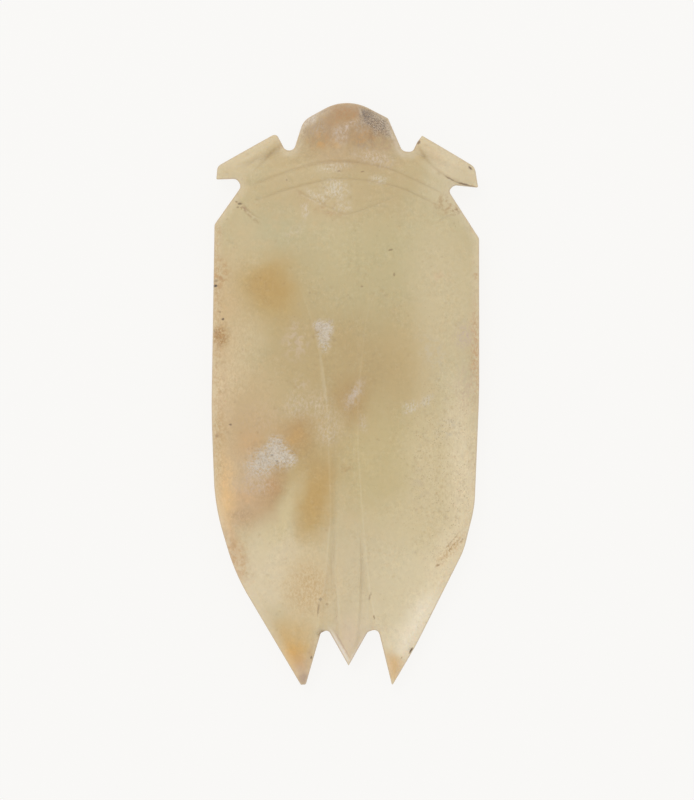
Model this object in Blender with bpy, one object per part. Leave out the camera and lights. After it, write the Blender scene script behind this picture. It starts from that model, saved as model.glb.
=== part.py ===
"""A jade cicada: one flat carved plaque that lies on its belly, head towards +Y and back up."""

import bisect
import math

import bmesh
import bpy
from mathutils import Matrix, Vector
from mathutils.bvhtree import BVHTree

MM = 0.001

# Outline seen from above, clockwise, as corners (x, y, rounding radius) in mm
HEAD_CORNERS = (
    (-5.35, 25.12, 0.55),
    (-4.36, 28.22, 2.0),
    (0.10, 30.654, 4.9),
    (4.40, 28.44, 0.35),
    (5.88, 25.02, 0.65),
)
RIGHT_EYE_CORNERS = (
    (6.90, 24.98, 0.5),
    (7.40, 26.02, 1.5),
    (7.90, 26.68, 0.12),
    (13.34, 23.43, 1.0),
    (13.70, 21.25, 0.15),
    (11.20, 21.52, 0.6),
)
RIGHT_WING_CORNERS = (
    (10.64, 20.90, 0.45),
    (13.79, 16.05, 0.5),
    (13.80, 0.0, 80.0),
    (13.32, -11.65, 12.0),
    (12.20, -16.15, 8.0),
    (7.27, -25.95, 30.0),
    (4.80, -30.14, 0.10),
)
TAIL_CORNERS = (
    (3.34, -24.16, 0.55),
    (2.28, -24.55, 0.4),
    (0.32, -28.05, 0.05),
    (-1.80, -24.28, 0.4),
    (-2.55, -24.66, 0.3),
    (-4.08, -29.98, 0.2),
)
LEFT_WING_CORNERS = (
    (-4.62, -30.005, 0.15),
    (-11.42, -18.5, 22.0),
    (-13.48, -11.5, 22.0),
    (-13.84, -2.0, 80.0),
    (-13.52, 17.48, 0.5),
    (-10.74, 21.38, 0.6),
)
LEFT_EYE_CORNERS = (
    (-11.22, 22.17, 0.6),
    (-13.34, 22.10, 0.12),
    (-13.22, 23.49, 0.7),
    (-7.15, 26.92, 0.45),
    (-6.20, 25.14, 0.6),
)
OUTLINE_CORNERS = (
    HEAD_CORNERS + RIGHT_EYE_CORNERS + RIGHT_WING_CORNERS
    + TAIL_CORNERS + LEFT_WING_CORNERS + LEFT_EYE_CORNERS
)
ARC_TURN = math.radians(15.0)
LONG_ARC_TURN = math.radians(4.0)
LONG_ARC_RADIUS = 3.0

# Heights in mm along the length, as (y, height) stations from tail to head
BACK_CREST = ((-30.5, 2.3), (-24.0, 3.5), (-12.0, 4.75), (0.0, 5.55), (12.0, 6.0), (18.0, 5.8),
              (23.0, 5.15), (27.0, 4.35), (29.0, 3.5), (30.5, 2.5))
BACK_RIM = ((-30.5, 1.9), (-24.0, 2.2), (0.0, 2.6), (20.0, 2.5), (30.5, 1.9))
BELLY_RIM = ((-30.5, 0.9), (-24.0, 1.0), (0.0, 1.2), (20.0, 1.1), (30.5, 1.1))
BELLY_KEEL = ((-30.5, 0.75), (-26.0, 0.35), (-21.0, 0.0), (-20.0, 0.0), (21.0, 0.0), (22.0, 0.0),
              (26.0, 0.3), (30.5, 1.0))

# Edges in mm along the length, as (y, x) stations from tail to head
LEFT_WING_EDGE = ((-30.5, -3.6), (-24.1, -2.89), (-21.4, -2.68), (-16.3, -1.9), (-9.1, -1.6),
                  (-0.9, -1.93), (5.0, -2.89), (8.1, -3.66), (11.7, -4.95), (18.0, -6.0),
                  (24.0, -3.4), (30.5, -1.0))
RIGHT_WING_EDGE = ((-30.5, 3.9), (-24.2, 3.35), (-20.2, 2.53), (-16.3, 2.11), (-8.6, 1.49),
                   (-0.9, 1.29), (4.3, 1.75), (7.4, 2.11), (9.7, 2.78), (11.5, 3.81),
                   (18.0, 6.0), (24.0, 3.4), (30.5, 1.0))
LEFT_RIB_EDGE = ((-30.5, -0.1), (-24.0, -0.64), (-21.0, -0.77), (-15.5, -0.95), (-9.0, -0.75),
                 (30.5, -0.4))
RIGHT_RIB_EDGE = ((-30.5, 0.5), (-24.0, 1.19), (-21.0, 1.42), (-15.0, 1.4), (-9.0, 0.75),
                  (30.5, 0.4))
HEAD_HALF_WIDTH = ((23.0, 13.3), (24.0, 10.2), (25.2, 6.2), (26.5, 5.2), (28.4, 4.4), (29.6, 3.2),
                   (30.5, 2.6))

# Depth of the abdomen below the wings, and height of its middle rib, as (y, mm) stations
ABDOMEN_SINK = ((-30.5, 0.3), (4.0, 0.3), (12.5, 0.0), (30.5, 0.0))
RIB_RISE = ((-30.5, 0.22), (-18.0, 0.22), (-11.0, 0.0), (30.5, 0.0))

WING_ROUNDING = 1.5
HEAD_ROUNDING = 2.3
RIM_BEVEL_WIDTH = 0.75
RIM_BEVEL_DROP = 0.35
WING_STEP_WIDTH = 0.3
RIB_STEP_WIDTH = 0.15
BELLY_FLAT_HALF_WIDTH = 5.0
SIDE_REACH = 15.0
END_REACH = 30.5
FLANK_TOP = 16.0
HEAD_FOOT = 23.0
WING_SPANS = 5
STATION_STEP = 1.5
SLAB_BOTTOM = -1.0
SLAB_TOP = 8.0

# Eyes: lens-shaped swellings on the side lobes, as centre (x, y, z) and half sizes in mm
RIGHT_EYE_CENTRE = (10.6, 23.75, 1.9)
LEFT_EYE_CENTRE = (-10.3, 23.95, 1.9)
EYE_HALF_SIZES = (4.3, 1.5, 1.0)
EYE_TURN = math.radians(-30.0)
EYE_SEGMENTS = 28
EYE_RINGS = 14

# Cut lines on the back, as points (x, y) in mm on each smooth stroke
BACK_STROKES = {
    "collar_upper": ((-10.1, 21.3), (-4.95, 23.2), (-1.6, 23.85), (1.5, 23.75), (4.6, 23.1),
                     (10.3, 20.5)),
    "collar_lower": ((-9.1, 19.9), (-6.0, 21.0), (-0.6, 22.1), (5.1, 21.35), (9.5, 19.4)),
    "shield": ((-5.3, 21.0), (-0.8, 18.7), (0.15, 18.45), (3.0, 19.4), (5.5, 20.5)),
    "right_eye": ((7.1, 26.3), (7.6, 25.3), (8.3, 24.2), (9.7, 22.9), (11.4, 21.85), (13.4, 21.1)),
    "left_eye": ((-6.6, 25.9), (-7.4, 25.05), (-8.6, 23.8), (-9.9, 22.6)),
    "right_brow": ((6.7, 24.55), (7.4, 23.7), (8.4, 22.8)),
    "left_brow": ((-8.55, 24.7), (-9.6, 23.9), (-10.6, 23.1)),
    "right_root": ((11.4, 18.7), (10.25, 18.15), (8.6, 17.2)),
    "left_root": ((-11.2, 20.5), (-10.65, 19.6), (-9.65, 18.55), (-8.3, 17.8)),
}

# Cut lines on the belly, plainer than the back
BELLY_STROKES = {
    "mouth_left": ((-2.4, 25.0), (-1.5, 20.0), (-0.25, 13.5)),
    "mouth_right": ((2.4, 25.0), (1.5, 20.0), (0.25, 13.5)),
    "cheek_left": ((-9.6, 20.0), (-6.2, 14.0), (-3.9, 4.0), (-3.1, -10.0), (-2.7, -22.0)),
    "cheek_right": ((9.6, 20.0), (6.2, 14.0), (3.9, 4.0), (3.1, -10.0), (2.7, -22.0)),
    "ring_upper": ((-2.5, -8.0), (0.0, -8.8), (2.5, -8.0)),
    "ring_middle": ((-2.4, -12.5), (0.0, -13.3), (2.4, -12.5)),
    "ring_lower": ((-2.2, -17.0), (0.0, -17.8), (2.2, -17.0)),
}
STROKE_HALF_WIDTH = 0.22
STROKE_END_SHARE = 0.4
STROKE_STEP = 0.9
RAY_HEIGHT = 20.0
WELD_DISTANCE = 1e-7

JADE_COLOUR = (0.56, 0.46, 0.27, 1.0)
JADE_ROUGHNESS = 0.32


def read_stations(stations, at):
    """Value of a smooth curve through (position, value) stations given in rising position."""
    places = [station[0] for station in stations]
    values = [station[1] for station in stations]
    last = len(stations) - 1
    if at <= places[0]:
        return values[0]
    if at >= places[last]:
        return values[last]
    low = bisect.bisect_right(places, at) - 1

    def slope(index):
        before = max(index - 1, 0)
        after = min(index + 1, last)
        return (values[after] - values[before]) / (places[after] - places[before])

    span = places[low + 1] - places[low]
    share = (at - places[low]) / span
    square = share * share
    cube = square * share
    return (
        (2.0 * cube - 3.0 * square + 1.0) * values[low]
        + (cube - 2.0 * square + share) * span * slope(low)
        + (3.0 * square - 2.0 * cube) * values[low + 1]
        + (cube - square) * span * slope(low + 1)
    )


def rounded_polygon(corners):
    """Closed polygon through the corners, each one rounded by an arc of its own radius."""
    points = []
    count = len(corners)
    for index, (x, y, radius) in enumerate(corners):
        corner = Vector((x, y))
        before = (Vector(corners[index - 1][:2]) - corner).normalized()
        after = (Vector(corners[(index + 1) % count][:2]) - corner).normalized()
        half_angle = before.angle(after) / 2.0
        centre = corner + (before + after).normalized() * radius / math.sin(half_angle)
        reach = radius / math.tan(half_angle)
        start = corner + before * reach - centre
        turn = start.angle_signed(corner + after * reach - centre)
        step = LONG_ARC_TURN if radius > LONG_ARC_RADIUS else ARC_TURN
        pieces = max(1, math.ceil(abs(turn) / step))
        first = math.atan2(start.y, start.x)
        for piece in range(pieces + 1):
            angle = first - turn * piece / pieces
            points.append(centre + radius * Vector((math.cos(angle), math.sin(angle))))
    return points


def outer_reach(outline, y, side):
    """Largest distance of the outline from the middle line at height y, on one side."""
    reach = 0.0
    for index, point in enumerate(outline):
        previous = outline[index - 1]
        if (previous.y - y) * (point.y - y) > 0.0 or previous.y == point.y:
            continue
        share = (y - previous.y) / (point.y - previous.y)
        reach = max(reach, side * (previous.x + share * (point.x - previous.x)))
    return reach


def half_width(outline, y, side):
    """Distance from the middle line to the rim of the carved back at height y, on one side."""
    if y > HEAD_FOOT:
        return read_stations(HEAD_HALF_WIDTH, y)
    lowest = min(point.y for point in outline)
    level = min(max(y, lowest + STROKE_HALF_WIDTH), FLANK_TOP)
    return outer_reach(outline, level, side)


def wing_height(x, y, reach):
    """Height of the carved back before the abdomen is sunk, rounded from crest to rim."""
    rim = read_stations(BACK_RIM, y)
    crest = read_stations(BACK_CREST, y)
    inner = reach - RIM_BEVEL_WIDTH
    share = min(abs(x) / inner, 1.0)
    head_share = min(max((y - HEAD_FOOT) / (END_REACH - HEAD_FOOT), 0.0), 1.0)
    rounding = WING_ROUNDING + (HEAD_ROUNDING - WING_ROUNDING) * head_share
    shoulder = rim + RIM_BEVEL_DROP
    height = shoulder + (crest - shoulder) * (1.0 - share ** rounding)
    over = max(abs(x) - inner, 0.0) / RIM_BEVEL_WIDTH
    return height - RIM_BEVEL_DROP * over


def back_section(outline, y):
    """Points (x, z) across the back at height y, from the left rim to the right rim."""
    sink = read_stations(ABDOMEN_SINK, y)
    rib = read_stations(RIB_RISE, y)
    reach_left = half_width(outline, y, -1.0)
    reach_right = half_width(outline, y, 1.0)
    edge_left = read_stations(LEFT_WING_EDGE, y)
    edge_right = read_stations(RIGHT_WING_EDGE, y)
    rib_left = read_stations(LEFT_RIB_EDGE, y)
    rib_right = read_stations(RIGHT_RIB_EDGE, y)

    def at(x, drop=0.0):
        reach = reach_left if x < 0.0 else reach_right
        return (x, wing_height(x, y, reach) - drop)

    def wing(edge, reach, side):
        inner = side * (reach - RIM_BEVEL_WIDTH)
        steps = [edge + (inner - edge) * step / WING_SPANS for step in range(WING_SPANS + 1)]
        outer = at(side * (reach + RIM_BEVEL_WIDTH))
        return [at(x) for x in steps] + [outer, (side * SIDE_REACH, outer[1])]

    left = list(reversed(wing(edge_left, reach_left, -1.0)))
    middle = [
        at(edge_left + WING_STEP_WIDTH, sink),
        at(rib_left - RIB_STEP_WIDTH, sink),
        at(rib_left, sink - rib),
        at((rib_left + rib_right) / 2.0, sink - rib),
        at(rib_right, sink - rib),
        at(rib_right + RIB_STEP_WIDTH, sink),
        at(edge_right - WING_STEP_WIDTH, sink),
    ]
    return left + middle + wing(edge_right, reach_right, 1.0)


def belly_section(outline, y):
    """Points (x, z) across the belly at height y, from the right rim to the left rim."""
    rim = read_stations(BELLY_RIM, y)
    keel = min(read_stations(BELLY_KEEL, y), rim)
    points = []
    for side in (1.0, -1.0):
        reach = half_width(outline, y, side)
        flat = min(BELLY_FLAT_HALF_WIDTH, reach / 2.0)
        outer = rim + (rim - keel) * RIM_BEVEL_WIDTH / (reach - flat)
        bevel = (side * (reach + RIM_BEVEL_WIDTH), outer)
        half = [(side * SIDE_REACH, outer), bevel, (side * flat, keel)]
        points += half if side > 0.0 else list(reversed(half))
    return points


def link_object(name, mesh, collection):
    """New object for a mesh, linked to a collection."""
    piece = bpy.data.objects.new(name, mesh)
    collection.objects.link(piece)
    return piece


def finish_mesh(form, mesh):
    """Write an edit mesh back as flat triangles that all face outward."""
    bmesh.ops.triangulate(form, faces=form.faces)
    bmesh.ops.recalc_face_normals(form, faces=form.faces)
    form.to_mesh(mesh)
    form.free()
    return mesh


def loft_body(name, outline, collection):
    """Plaque body lofted through cross-sections along the length."""
    form = bmesh.new()
    count = math.ceil(2.0 * END_REACH / STATION_STEP)
    rings = []
    for station in range(count + 1):
        y = -END_REACH + 2.0 * END_REACH * station / count
        section = back_section(outline, y) + belly_section(outline, y)
        rings.append([form.verts.new((x * MM, y * MM, z * MM)) for x, z in section])
    for low, high in zip(rings, rings[1:]):
        for index in range(len(low)):
            after = (index + 1) % len(low)
            form.faces.new((low[index], low[after], high[after], high[index]))
    form.faces.new(rings[0])
    form.faces.new(rings[-1])
    return link_object(name, finish_mesh(form, bpy.data.meshes.new(name)), collection)


def curve_to_mesh_object(name, curve, offset, collection):
    """Curve turned into a closed mesh object; the curve itself is removed."""
    source = link_object(name + "_curve", curve, collection)
    source.location = offset
    bpy.context.view_layer.update()
    graph = bpy.context.evaluated_depsgraph_get()
    mesh = bpy.data.meshes.new_from_object(source.evaluated_get(graph))
    piece = link_object(name, mesh, collection)
    piece.matrix_world = source.matrix_world
    bpy.data.objects.remove(source)
    bpy.data.curves.remove(curve)
    form = bmesh.new()
    form.from_mesh(mesh)
    bmesh.ops.remove_doubles(form, verts=form.verts, dist=WELD_DISTANCE)
    finish_mesh(form, mesh)
    return piece


def outline_slab(outline, collection):
    """Block with the outline of the plaque, taller than the body."""
    curve = bpy.data.curves.new("outline", "CURVE")
    curve.dimensions = "2D"
    curve.fill_mode = "BOTH"
    curve.extrude = (SLAB_TOP - SLAB_BOTTOM) / 2.0 * MM
    spline = curve.splines.new("POLY")
    spline.points.add(len(outline) - 1)
    for point, place in zip(spline.points, outline):
        point.co = (place.x * MM, place.y * MM, 0.0, 1.0)
    spline.use_cyclic_u = True
    middle = Vector((0.0, 0.0, (SLAB_TOP + SLAB_BOTTOM) / 2.0 * MM))
    return curve_to_mesh_object("outline_block", curve, middle, collection)


def eye_swelling(name, centre, turn, collection):
    """Lens-shaped swelling for one eye."""
    form = bmesh.new()
    place = (
        Matrix.Translation(Vector(centre) * MM)
        @ Matrix.Rotation(turn, 4, "Z")
        @ Matrix.Diagonal((*[size * MM for size in EYE_HALF_SIZES], 1.0))
    )
    bmesh.ops.create_uvsphere(
        form, u_segments=EYE_SEGMENTS, v_segments=EYE_RINGS, radius=1.0, matrix=place
    )
    return link_object(name, finish_mesh(form, bpy.data.meshes.new(name)), collection)


def smooth_stroke(points):
    """Evenly stepped points along a smooth stroke through the given points."""
    knots = [0.0]
    for start, end in zip(points, points[1:]):
        knots.append(knots[-1] + math.dist(start, end))
    across = [(knot, point[0]) for knot, point in zip(knots, points)]
    along = [(knot, point[1]) for knot, point in zip(knots, points)]
    count = max(2, round(knots[-1] / STROKE_STEP))
    places = [knots[-1] * step / count for step in range(count + 1)]
    return [(read_stations(across, place), read_stations(along, place)) for place in places]


def laid_on(points, surface, side):
    """Points (x, y) in mm laid on the surface; those past its rim keep the nearest height."""
    path = []
    missed = []
    for x, y in points:
        start = Vector((x * MM, y * MM, side * RAY_HEIGHT * MM))
        hit = surface.ray_cast(start, Vector((0.0, 0.0, -side)))[0]
        if hit is None and not path:
            missed.append(start)
            continue
        path.append(hit if hit is not None else Vector((start.x, start.y, path[-1].z)))
    return [Vector((start.x, start.y, path[0].z)) for start in missed] + path


def stroke_cutter(name, points, surface, side, collection):
    """V-shaped cutter that follows the surface under a stroke and thins out at its ends."""
    path = laid_on(smooth_stroke(points), surface, side)
    curve = bpy.data.curves.new(name, "CURVE")
    curve.dimensions = "3D"
    curve.twist_mode = "Z_UP"
    curve.bevel_depth = STROKE_HALF_WIDTH * MM
    curve.bevel_resolution = 0
    curve.use_fill_caps = True
    spline = curve.splines.new("POLY")
    spline.points.add(len(path) - 1)
    for index, (point, place) in enumerate(zip(spline.points, path)):
        point.co = (*place, 1.0)
        at_end = index in (0, len(path) - 1)
        point.radius = STROKE_END_SHARE if at_end else 1.0
    return curve_to_mesh_object(name, curve, Vector((0.0, 0.0, 0.0)), collection)


def add_boolean(piece, tool, operation):
    """Live Boolean of a piece with a tool body."""
    step = piece.modifiers.new(f"{operation.lower()} {tool.name}", "BOOLEAN")
    step.operation = operation
    step.solver = "EXACT"
    step.object = tool


def jade_material():
    """Plain warm green-tan jade."""
    material = bpy.data.materials.new("jade")
    material.use_nodes = True
    shader = material.node_tree.nodes["Principled BSDF"]
    shader.inputs["Base Color"].default_value = JADE_COLOUR
    shader.inputs["Roughness"].default_value = JADE_ROUGHNESS
    return material


def new_collection(name, parent):
    """Collection linked under another one."""
    collection = bpy.data.collections.new(name)
    parent.children.link(collection)
    return collection


def surface_of(piece):
    """Search tree over the surface of a piece with its modifiers."""
    bpy.context.view_layer.update()
    return BVHTree.FromObject(piece, bpy.context.evaluated_depsgraph_get())


def cut_strokes(body, strokes, surface, side, cutters):
    """Cut every named stroke into one side of the body, all in one step."""
    for name, points in strokes.items():
        stroke_cutter(name, points, surface, side, cutters)
    step = body.modifiers.new("cut " + cutters.name, "BOOLEAN")
    step.operation = "DIFFERENCE"
    step.solver = "EXACT"
    step.operand_type = "COLLECTION"
    step.collection = cutters


def build():
    """Build the cicada and its cutters."""
    for piece in list(bpy.data.objects):
        bpy.data.objects.remove(piece)
    top = bpy.context.scene.collection
    parts = new_collection("jade cicada", top)
    cutters = new_collection("cutters", top)
    outline = rounded_polygon(OUTLINE_CORNERS)
    body = loft_body("jade_cicada", outline, parts)
    body.data.materials.append(jade_material())
    right_eye = eye_swelling("right_eye_lens", RIGHT_EYE_CENTRE, EYE_TURN, cutters)
    left_eye = eye_swelling("left_eye_lens", LEFT_EYE_CENTRE, -EYE_TURN, cutters)
    add_boolean(body, right_eye, "UNION")
    add_boolean(body, left_eye, "UNION")
    add_boolean(body, outline_slab(outline, cutters), "INTERSECT")
    surface = surface_of(body)
    cut_strokes(body, BACK_STROKES, surface, 1.0, new_collection("back strokes", cutters))
    cut_strokes(body, BELLY_STROKES, surface, -1.0, new_collection("belly strokes", cutters))
    for tool in cutters.all_objects:
        tool.hide_render = True
        tool.display_type = "WIRE"


build()
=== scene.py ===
"""Visual model of a jade cicada: a flat carved plaque that lies on its belly, head towards +Y."""

from __future__ import annotations

import logging
import math
from dataclasses import dataclass
from enum import Enum

import bmesh
import bpy
import numpy as np
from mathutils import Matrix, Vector
from mathutils.geometry import delaunay_2d_cdt

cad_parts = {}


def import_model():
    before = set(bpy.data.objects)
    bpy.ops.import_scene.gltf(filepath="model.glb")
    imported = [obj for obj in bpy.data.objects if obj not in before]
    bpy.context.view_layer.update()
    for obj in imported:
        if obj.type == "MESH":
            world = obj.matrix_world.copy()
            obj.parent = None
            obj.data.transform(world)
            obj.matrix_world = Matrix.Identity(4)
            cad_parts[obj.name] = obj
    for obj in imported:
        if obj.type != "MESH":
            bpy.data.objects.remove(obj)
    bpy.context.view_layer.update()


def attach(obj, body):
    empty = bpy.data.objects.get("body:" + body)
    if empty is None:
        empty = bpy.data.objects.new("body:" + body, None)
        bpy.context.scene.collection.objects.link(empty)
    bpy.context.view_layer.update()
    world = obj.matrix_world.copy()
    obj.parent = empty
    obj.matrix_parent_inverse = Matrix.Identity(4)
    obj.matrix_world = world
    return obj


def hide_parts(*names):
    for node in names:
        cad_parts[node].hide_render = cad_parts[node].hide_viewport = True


LOG = logging.getLogger("jade_cicada")
NODE = "jade_cicada"
MM = 0.001
GEOMETRY = "GeometryNodeTree"
SHADER = "ShaderNodeTree"
Array = np.ndarray
Socket = bpy.types.NodeSocket
Tone = tuple[float, float, float]
Pairs = tuple[tuple[float, float], ...]


class Side(Enum):
    """Face of the plaque that a feature lies on; the value is its direction along Z."""

    BACK = 1.0
    BELLY = -1.0


class Grain(Enum):
    """How a stain is broken up inside its edge."""

    EVEN = "even"
    MOTTLED = "mottled"
    FLECKED = "flecked"
    PITTED = "pitted"


def from_srgb(tone: Tone) -> tuple[float, ...]:
    """Linear colour of a tone.

    Args:
        tone: Red, green and blue as display values from 0 to 255.

    Returns:
        The linear colour with full alpha.
    """
    linear = []
    for value in tone:
        share = value / 255.0
        linear.append(share / 12.92 if share <= 0.04045 else ((share + 0.055) / 1.055) ** 2.4)
    return (*linear, 1.0)


def ease(share: Array) -> Array:
    """Soft step from 0 to 1 for shares that may run outside that range."""
    held = np.clip(share, 0.0, 1.0)
    return held * held * (3.0 - 2.0 * held)


def turned(points: Array, centre: tuple[float, float], degrees: float) -> tuple[Array, Array]:
    """Places of points in axes that are turned about a centre.

    Args:
        points: Array of (x, y).
        centre: Middle of the turned axes.
        degrees: Their turn, anticlockwise.

    Returns:
        The distances along the first axis and along the second.
    """
    cosine, sine = math.cos(math.radians(degrees)), math.sin(math.radians(degrees))
    x, y = (points - np.array(centre)).T
    return cosine * x + sine * y, cosine * y - sine * x


def new_object(name: str, data: bpy.types.ID) -> bpy.types.Object:
    """Put new data into the scene.

    Args:
        name: Name of the object.
        data: Its mesh, curve, camera or light.

    Returns:
        The object.
    """
    added = bpy.data.objects.new(name, data)
    bpy.context.scene.collection.objects.link(added)
    return added


def new_material(name: str, **values: object) -> tuple[bpy.types.Material, bpy.types.Node]:
    """Make a material with plain values on its shader.

    Args:
        name: Name of the material.
        **values: Shader inputs by name, with underscores for spaces.

    Returns:
        The material and its shader node.
    """
    material = bpy.data.materials.new(name)
    material.use_nodes = True
    shader = material.node_tree.nodes["Principled BSDF"]
    for label, value in values.items():
        shader.inputs[label.replace("_", " ")].default_value = value
    return material, shader


@dataclass(frozen=True)
class Stations:
    """Smooth curve through (position, value) pairs given in rising position, in mm."""

    pairs: Pairs

    def at(self, where: Array) -> Array:
        """Values of the curve.

        Args:
            where: Positions to read the curve at.

        Returns:
            One value for each position; past either end the end value holds.
        """
        places, values = np.array(self.pairs).T
        index = np.arange(len(places))
        last = index[-1]
        before, after = np.maximum(index - 1, 0), np.minimum(index + 1, last)
        slopes = (values[after] - values[before]) / (places[after] - places[before])
        held = np.clip(where, places[0], places[last])
        low = np.clip(np.searchsorted(places, held, side="right") - 1, 0, last - 1)
        span = places[low + 1] - places[low]
        share = (held - places[low]) / span
        square = share * share
        cube = square * share
        return (
            (2.0 * cube - 3.0 * square + 1.0) * values[low]
            + (cube - 2.0 * square + share) * span * slopes[low]
            + (3.0 * square - 2.0 * cube) * values[low + 1]
            + (cube - square) * span * slopes[low + 1]
        )


@dataclass(frozen=True)
class Outline:
    """Rim of the plaque seen from above: clockwise corners (x, y, rounding radius) in mm."""

    corners: tuple[tuple[float, float, float], ...] = (
        (-5.35, 25.12, 0.55), (-4.36, 28.22, 2.0), (0.10, 30.654, 4.9), (4.40, 28.44, 0.35),
        (5.88, 25.02, 0.65), (6.90, 24.98, 0.5), (7.40, 26.02, 1.5), (7.90, 26.68, 0.12),
        (13.34, 23.43, 1.0), (13.70, 21.25, 0.15), (11.20, 21.52, 0.6), (10.64, 20.90, 0.45),
        (13.79, 16.05, 0.5), (13.80, 0.0, 80.0), (13.32, -11.65, 12.0), (12.20, -16.15, 8.0),
        (7.27, -25.95, 30.0), (4.80, -30.14, 0.10), (3.34, -24.16, 0.55), (2.28, -24.55, 0.4),
        (0.32, -28.05, 0.05), (-1.80, -24.28, 0.4), (-2.55, -24.66, 0.3), (-4.08, -29.98, 0.2),
        (-4.62, -30.005, 0.15), (-11.42, -18.5, 22.0), (-13.48, -11.5, 22.0),
        (-13.84, -2.0, 80.0), (-13.52, 17.48, 0.5), (-10.74, 21.38, 0.6), (-11.22, 22.17, 0.6),
        (-13.34, 22.10, 0.12), (-13.22, 23.49, 0.7), (-7.15, 26.92, 0.45), (-6.20, 25.14, 0.6),
    )
    spacing: float = 0.18
    arc_turn: float = math.radians(20.0)
    inset: float = 0.02

    def polygon(self) -> Array:
        """Evenly stepped rim points.

        Returns:
            Array of (x, y), clockwise, with arcs at the corners.
        """
        arcs: list[Array] = []
        count = len(self.corners)
        for index, (x, y, radius) in enumerate(self.corners):
            corner = np.array((x, y))
            before = np.array(self.corners[index - 1][:2]) - corner
            after = np.array(self.corners[(index + 1) % count][:2]) - corner
            before /= np.linalg.norm(before)
            after /= np.linalg.norm(after)
            half = math.acos(float(np.clip(before @ after, -1.0, 1.0))) / 2.0
            middle = (before + after) / np.linalg.norm(before + after)
            centre = corner + middle * radius / math.sin(half)
            start = corner + before * radius / math.tan(half) - centre
            end = corner + after * radius / math.tan(half) - centre
            first = math.atan2(start[1], start[0])
            turn = math.remainder(math.atan2(end[1], end[0]) - first, math.tau)
            steps = abs(turn) / self.arc_turn, abs(turn) * radius / self.spacing
            angles = first + turn * np.linspace(0.0, 1.0, max(math.ceil(max(steps)), 1) + 1)
            arcs.append(centre + radius * np.stack((np.cos(angles), np.sin(angles)), 1))
        rim: list[Array] = []
        for arc, following in zip(arcs, arcs[1:] + arcs[:1]):
            way = following[0] - arc[-1]
            pieces = math.ceil(float(np.linalg.norm(way)) / self.spacing)
            shares = np.arange(1, pieces)[:, None] / max(pieces, 1)
            rim += [arc, arc[-1] + way * shares]
        points = np.concatenate(rim)
        return points + self.inward(points) * self.inset

    @staticmethod
    def inward(points: Array) -> Array:
        """Unit directions into the plaque at the points of a clockwise rim."""
        along = np.roll(points, -1, 0) - np.roll(points, 1, 0)
        normal = np.stack((along[:, 1], -along[:, 0]), 1)
        return normal / np.linalg.norm(normal, axis=1, keepdims=True)


def rim_distance(points: Array, rim: Array, chunk: int = 4096) -> Array:
    """Distance of points from the rim.

    Args:
        points: Array of (x, y).
        rim: Closed polygon of (x, y).
        chunk: Number of points taken at a time.

    Returns:
        Distance to the nearest rim segment for each point.
    """
    along = np.roll(rim, -1, 0) - rim
    length = np.maximum((along ** 2).sum(1), 1e-12)
    found = np.empty(len(points))
    for low in range(0, len(points), chunk):
        part = points[low : low + chunk, None, :] - rim[None]
        share = np.clip((part * along[None]).sum(2) / length[None], 0.0, 1.0)
        gap = part - share[..., None] * along[None]
        found[low : low + chunk] = np.sqrt((gap ** 2).sum(2).min(1))
    return found


def inside_polygon(points: Array, polygon: Array) -> Array:
    """Which points lie inside a closed polygon.

    Args:
        points: Array of (x, y).
        polygon: Closed polygon of (x, y).

    Returns:
        True for each point inside.
    """
    inside = np.zeros(len(points), dtype=bool)
    x, y = points[:, 0], points[:, 1]
    for (x0, y0), (x1, y1) in zip(polygon.tolist(), np.roll(polygon, -1, 0).tolist()):
        if y0 != y1:
            crossing = (y0 > y) != (y1 > y)
            inside ^= crossing & (x < x0 + (y - y0) / (y1 - y0) * (x1 - x0))
    return inside


@dataclass(frozen=True)
class Nick:
    """Small loss at the rim of the plaque, in mm."""

    x: float
    y: float
    radius: float
    depth: float


@dataclass(frozen=True)
class Eye:
    """Lens-shaped eye on a side lobe: middle in mm, height of its foot and turn in degrees."""

    centre: tuple[float, float]
    foot: float
    turn: float


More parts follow.
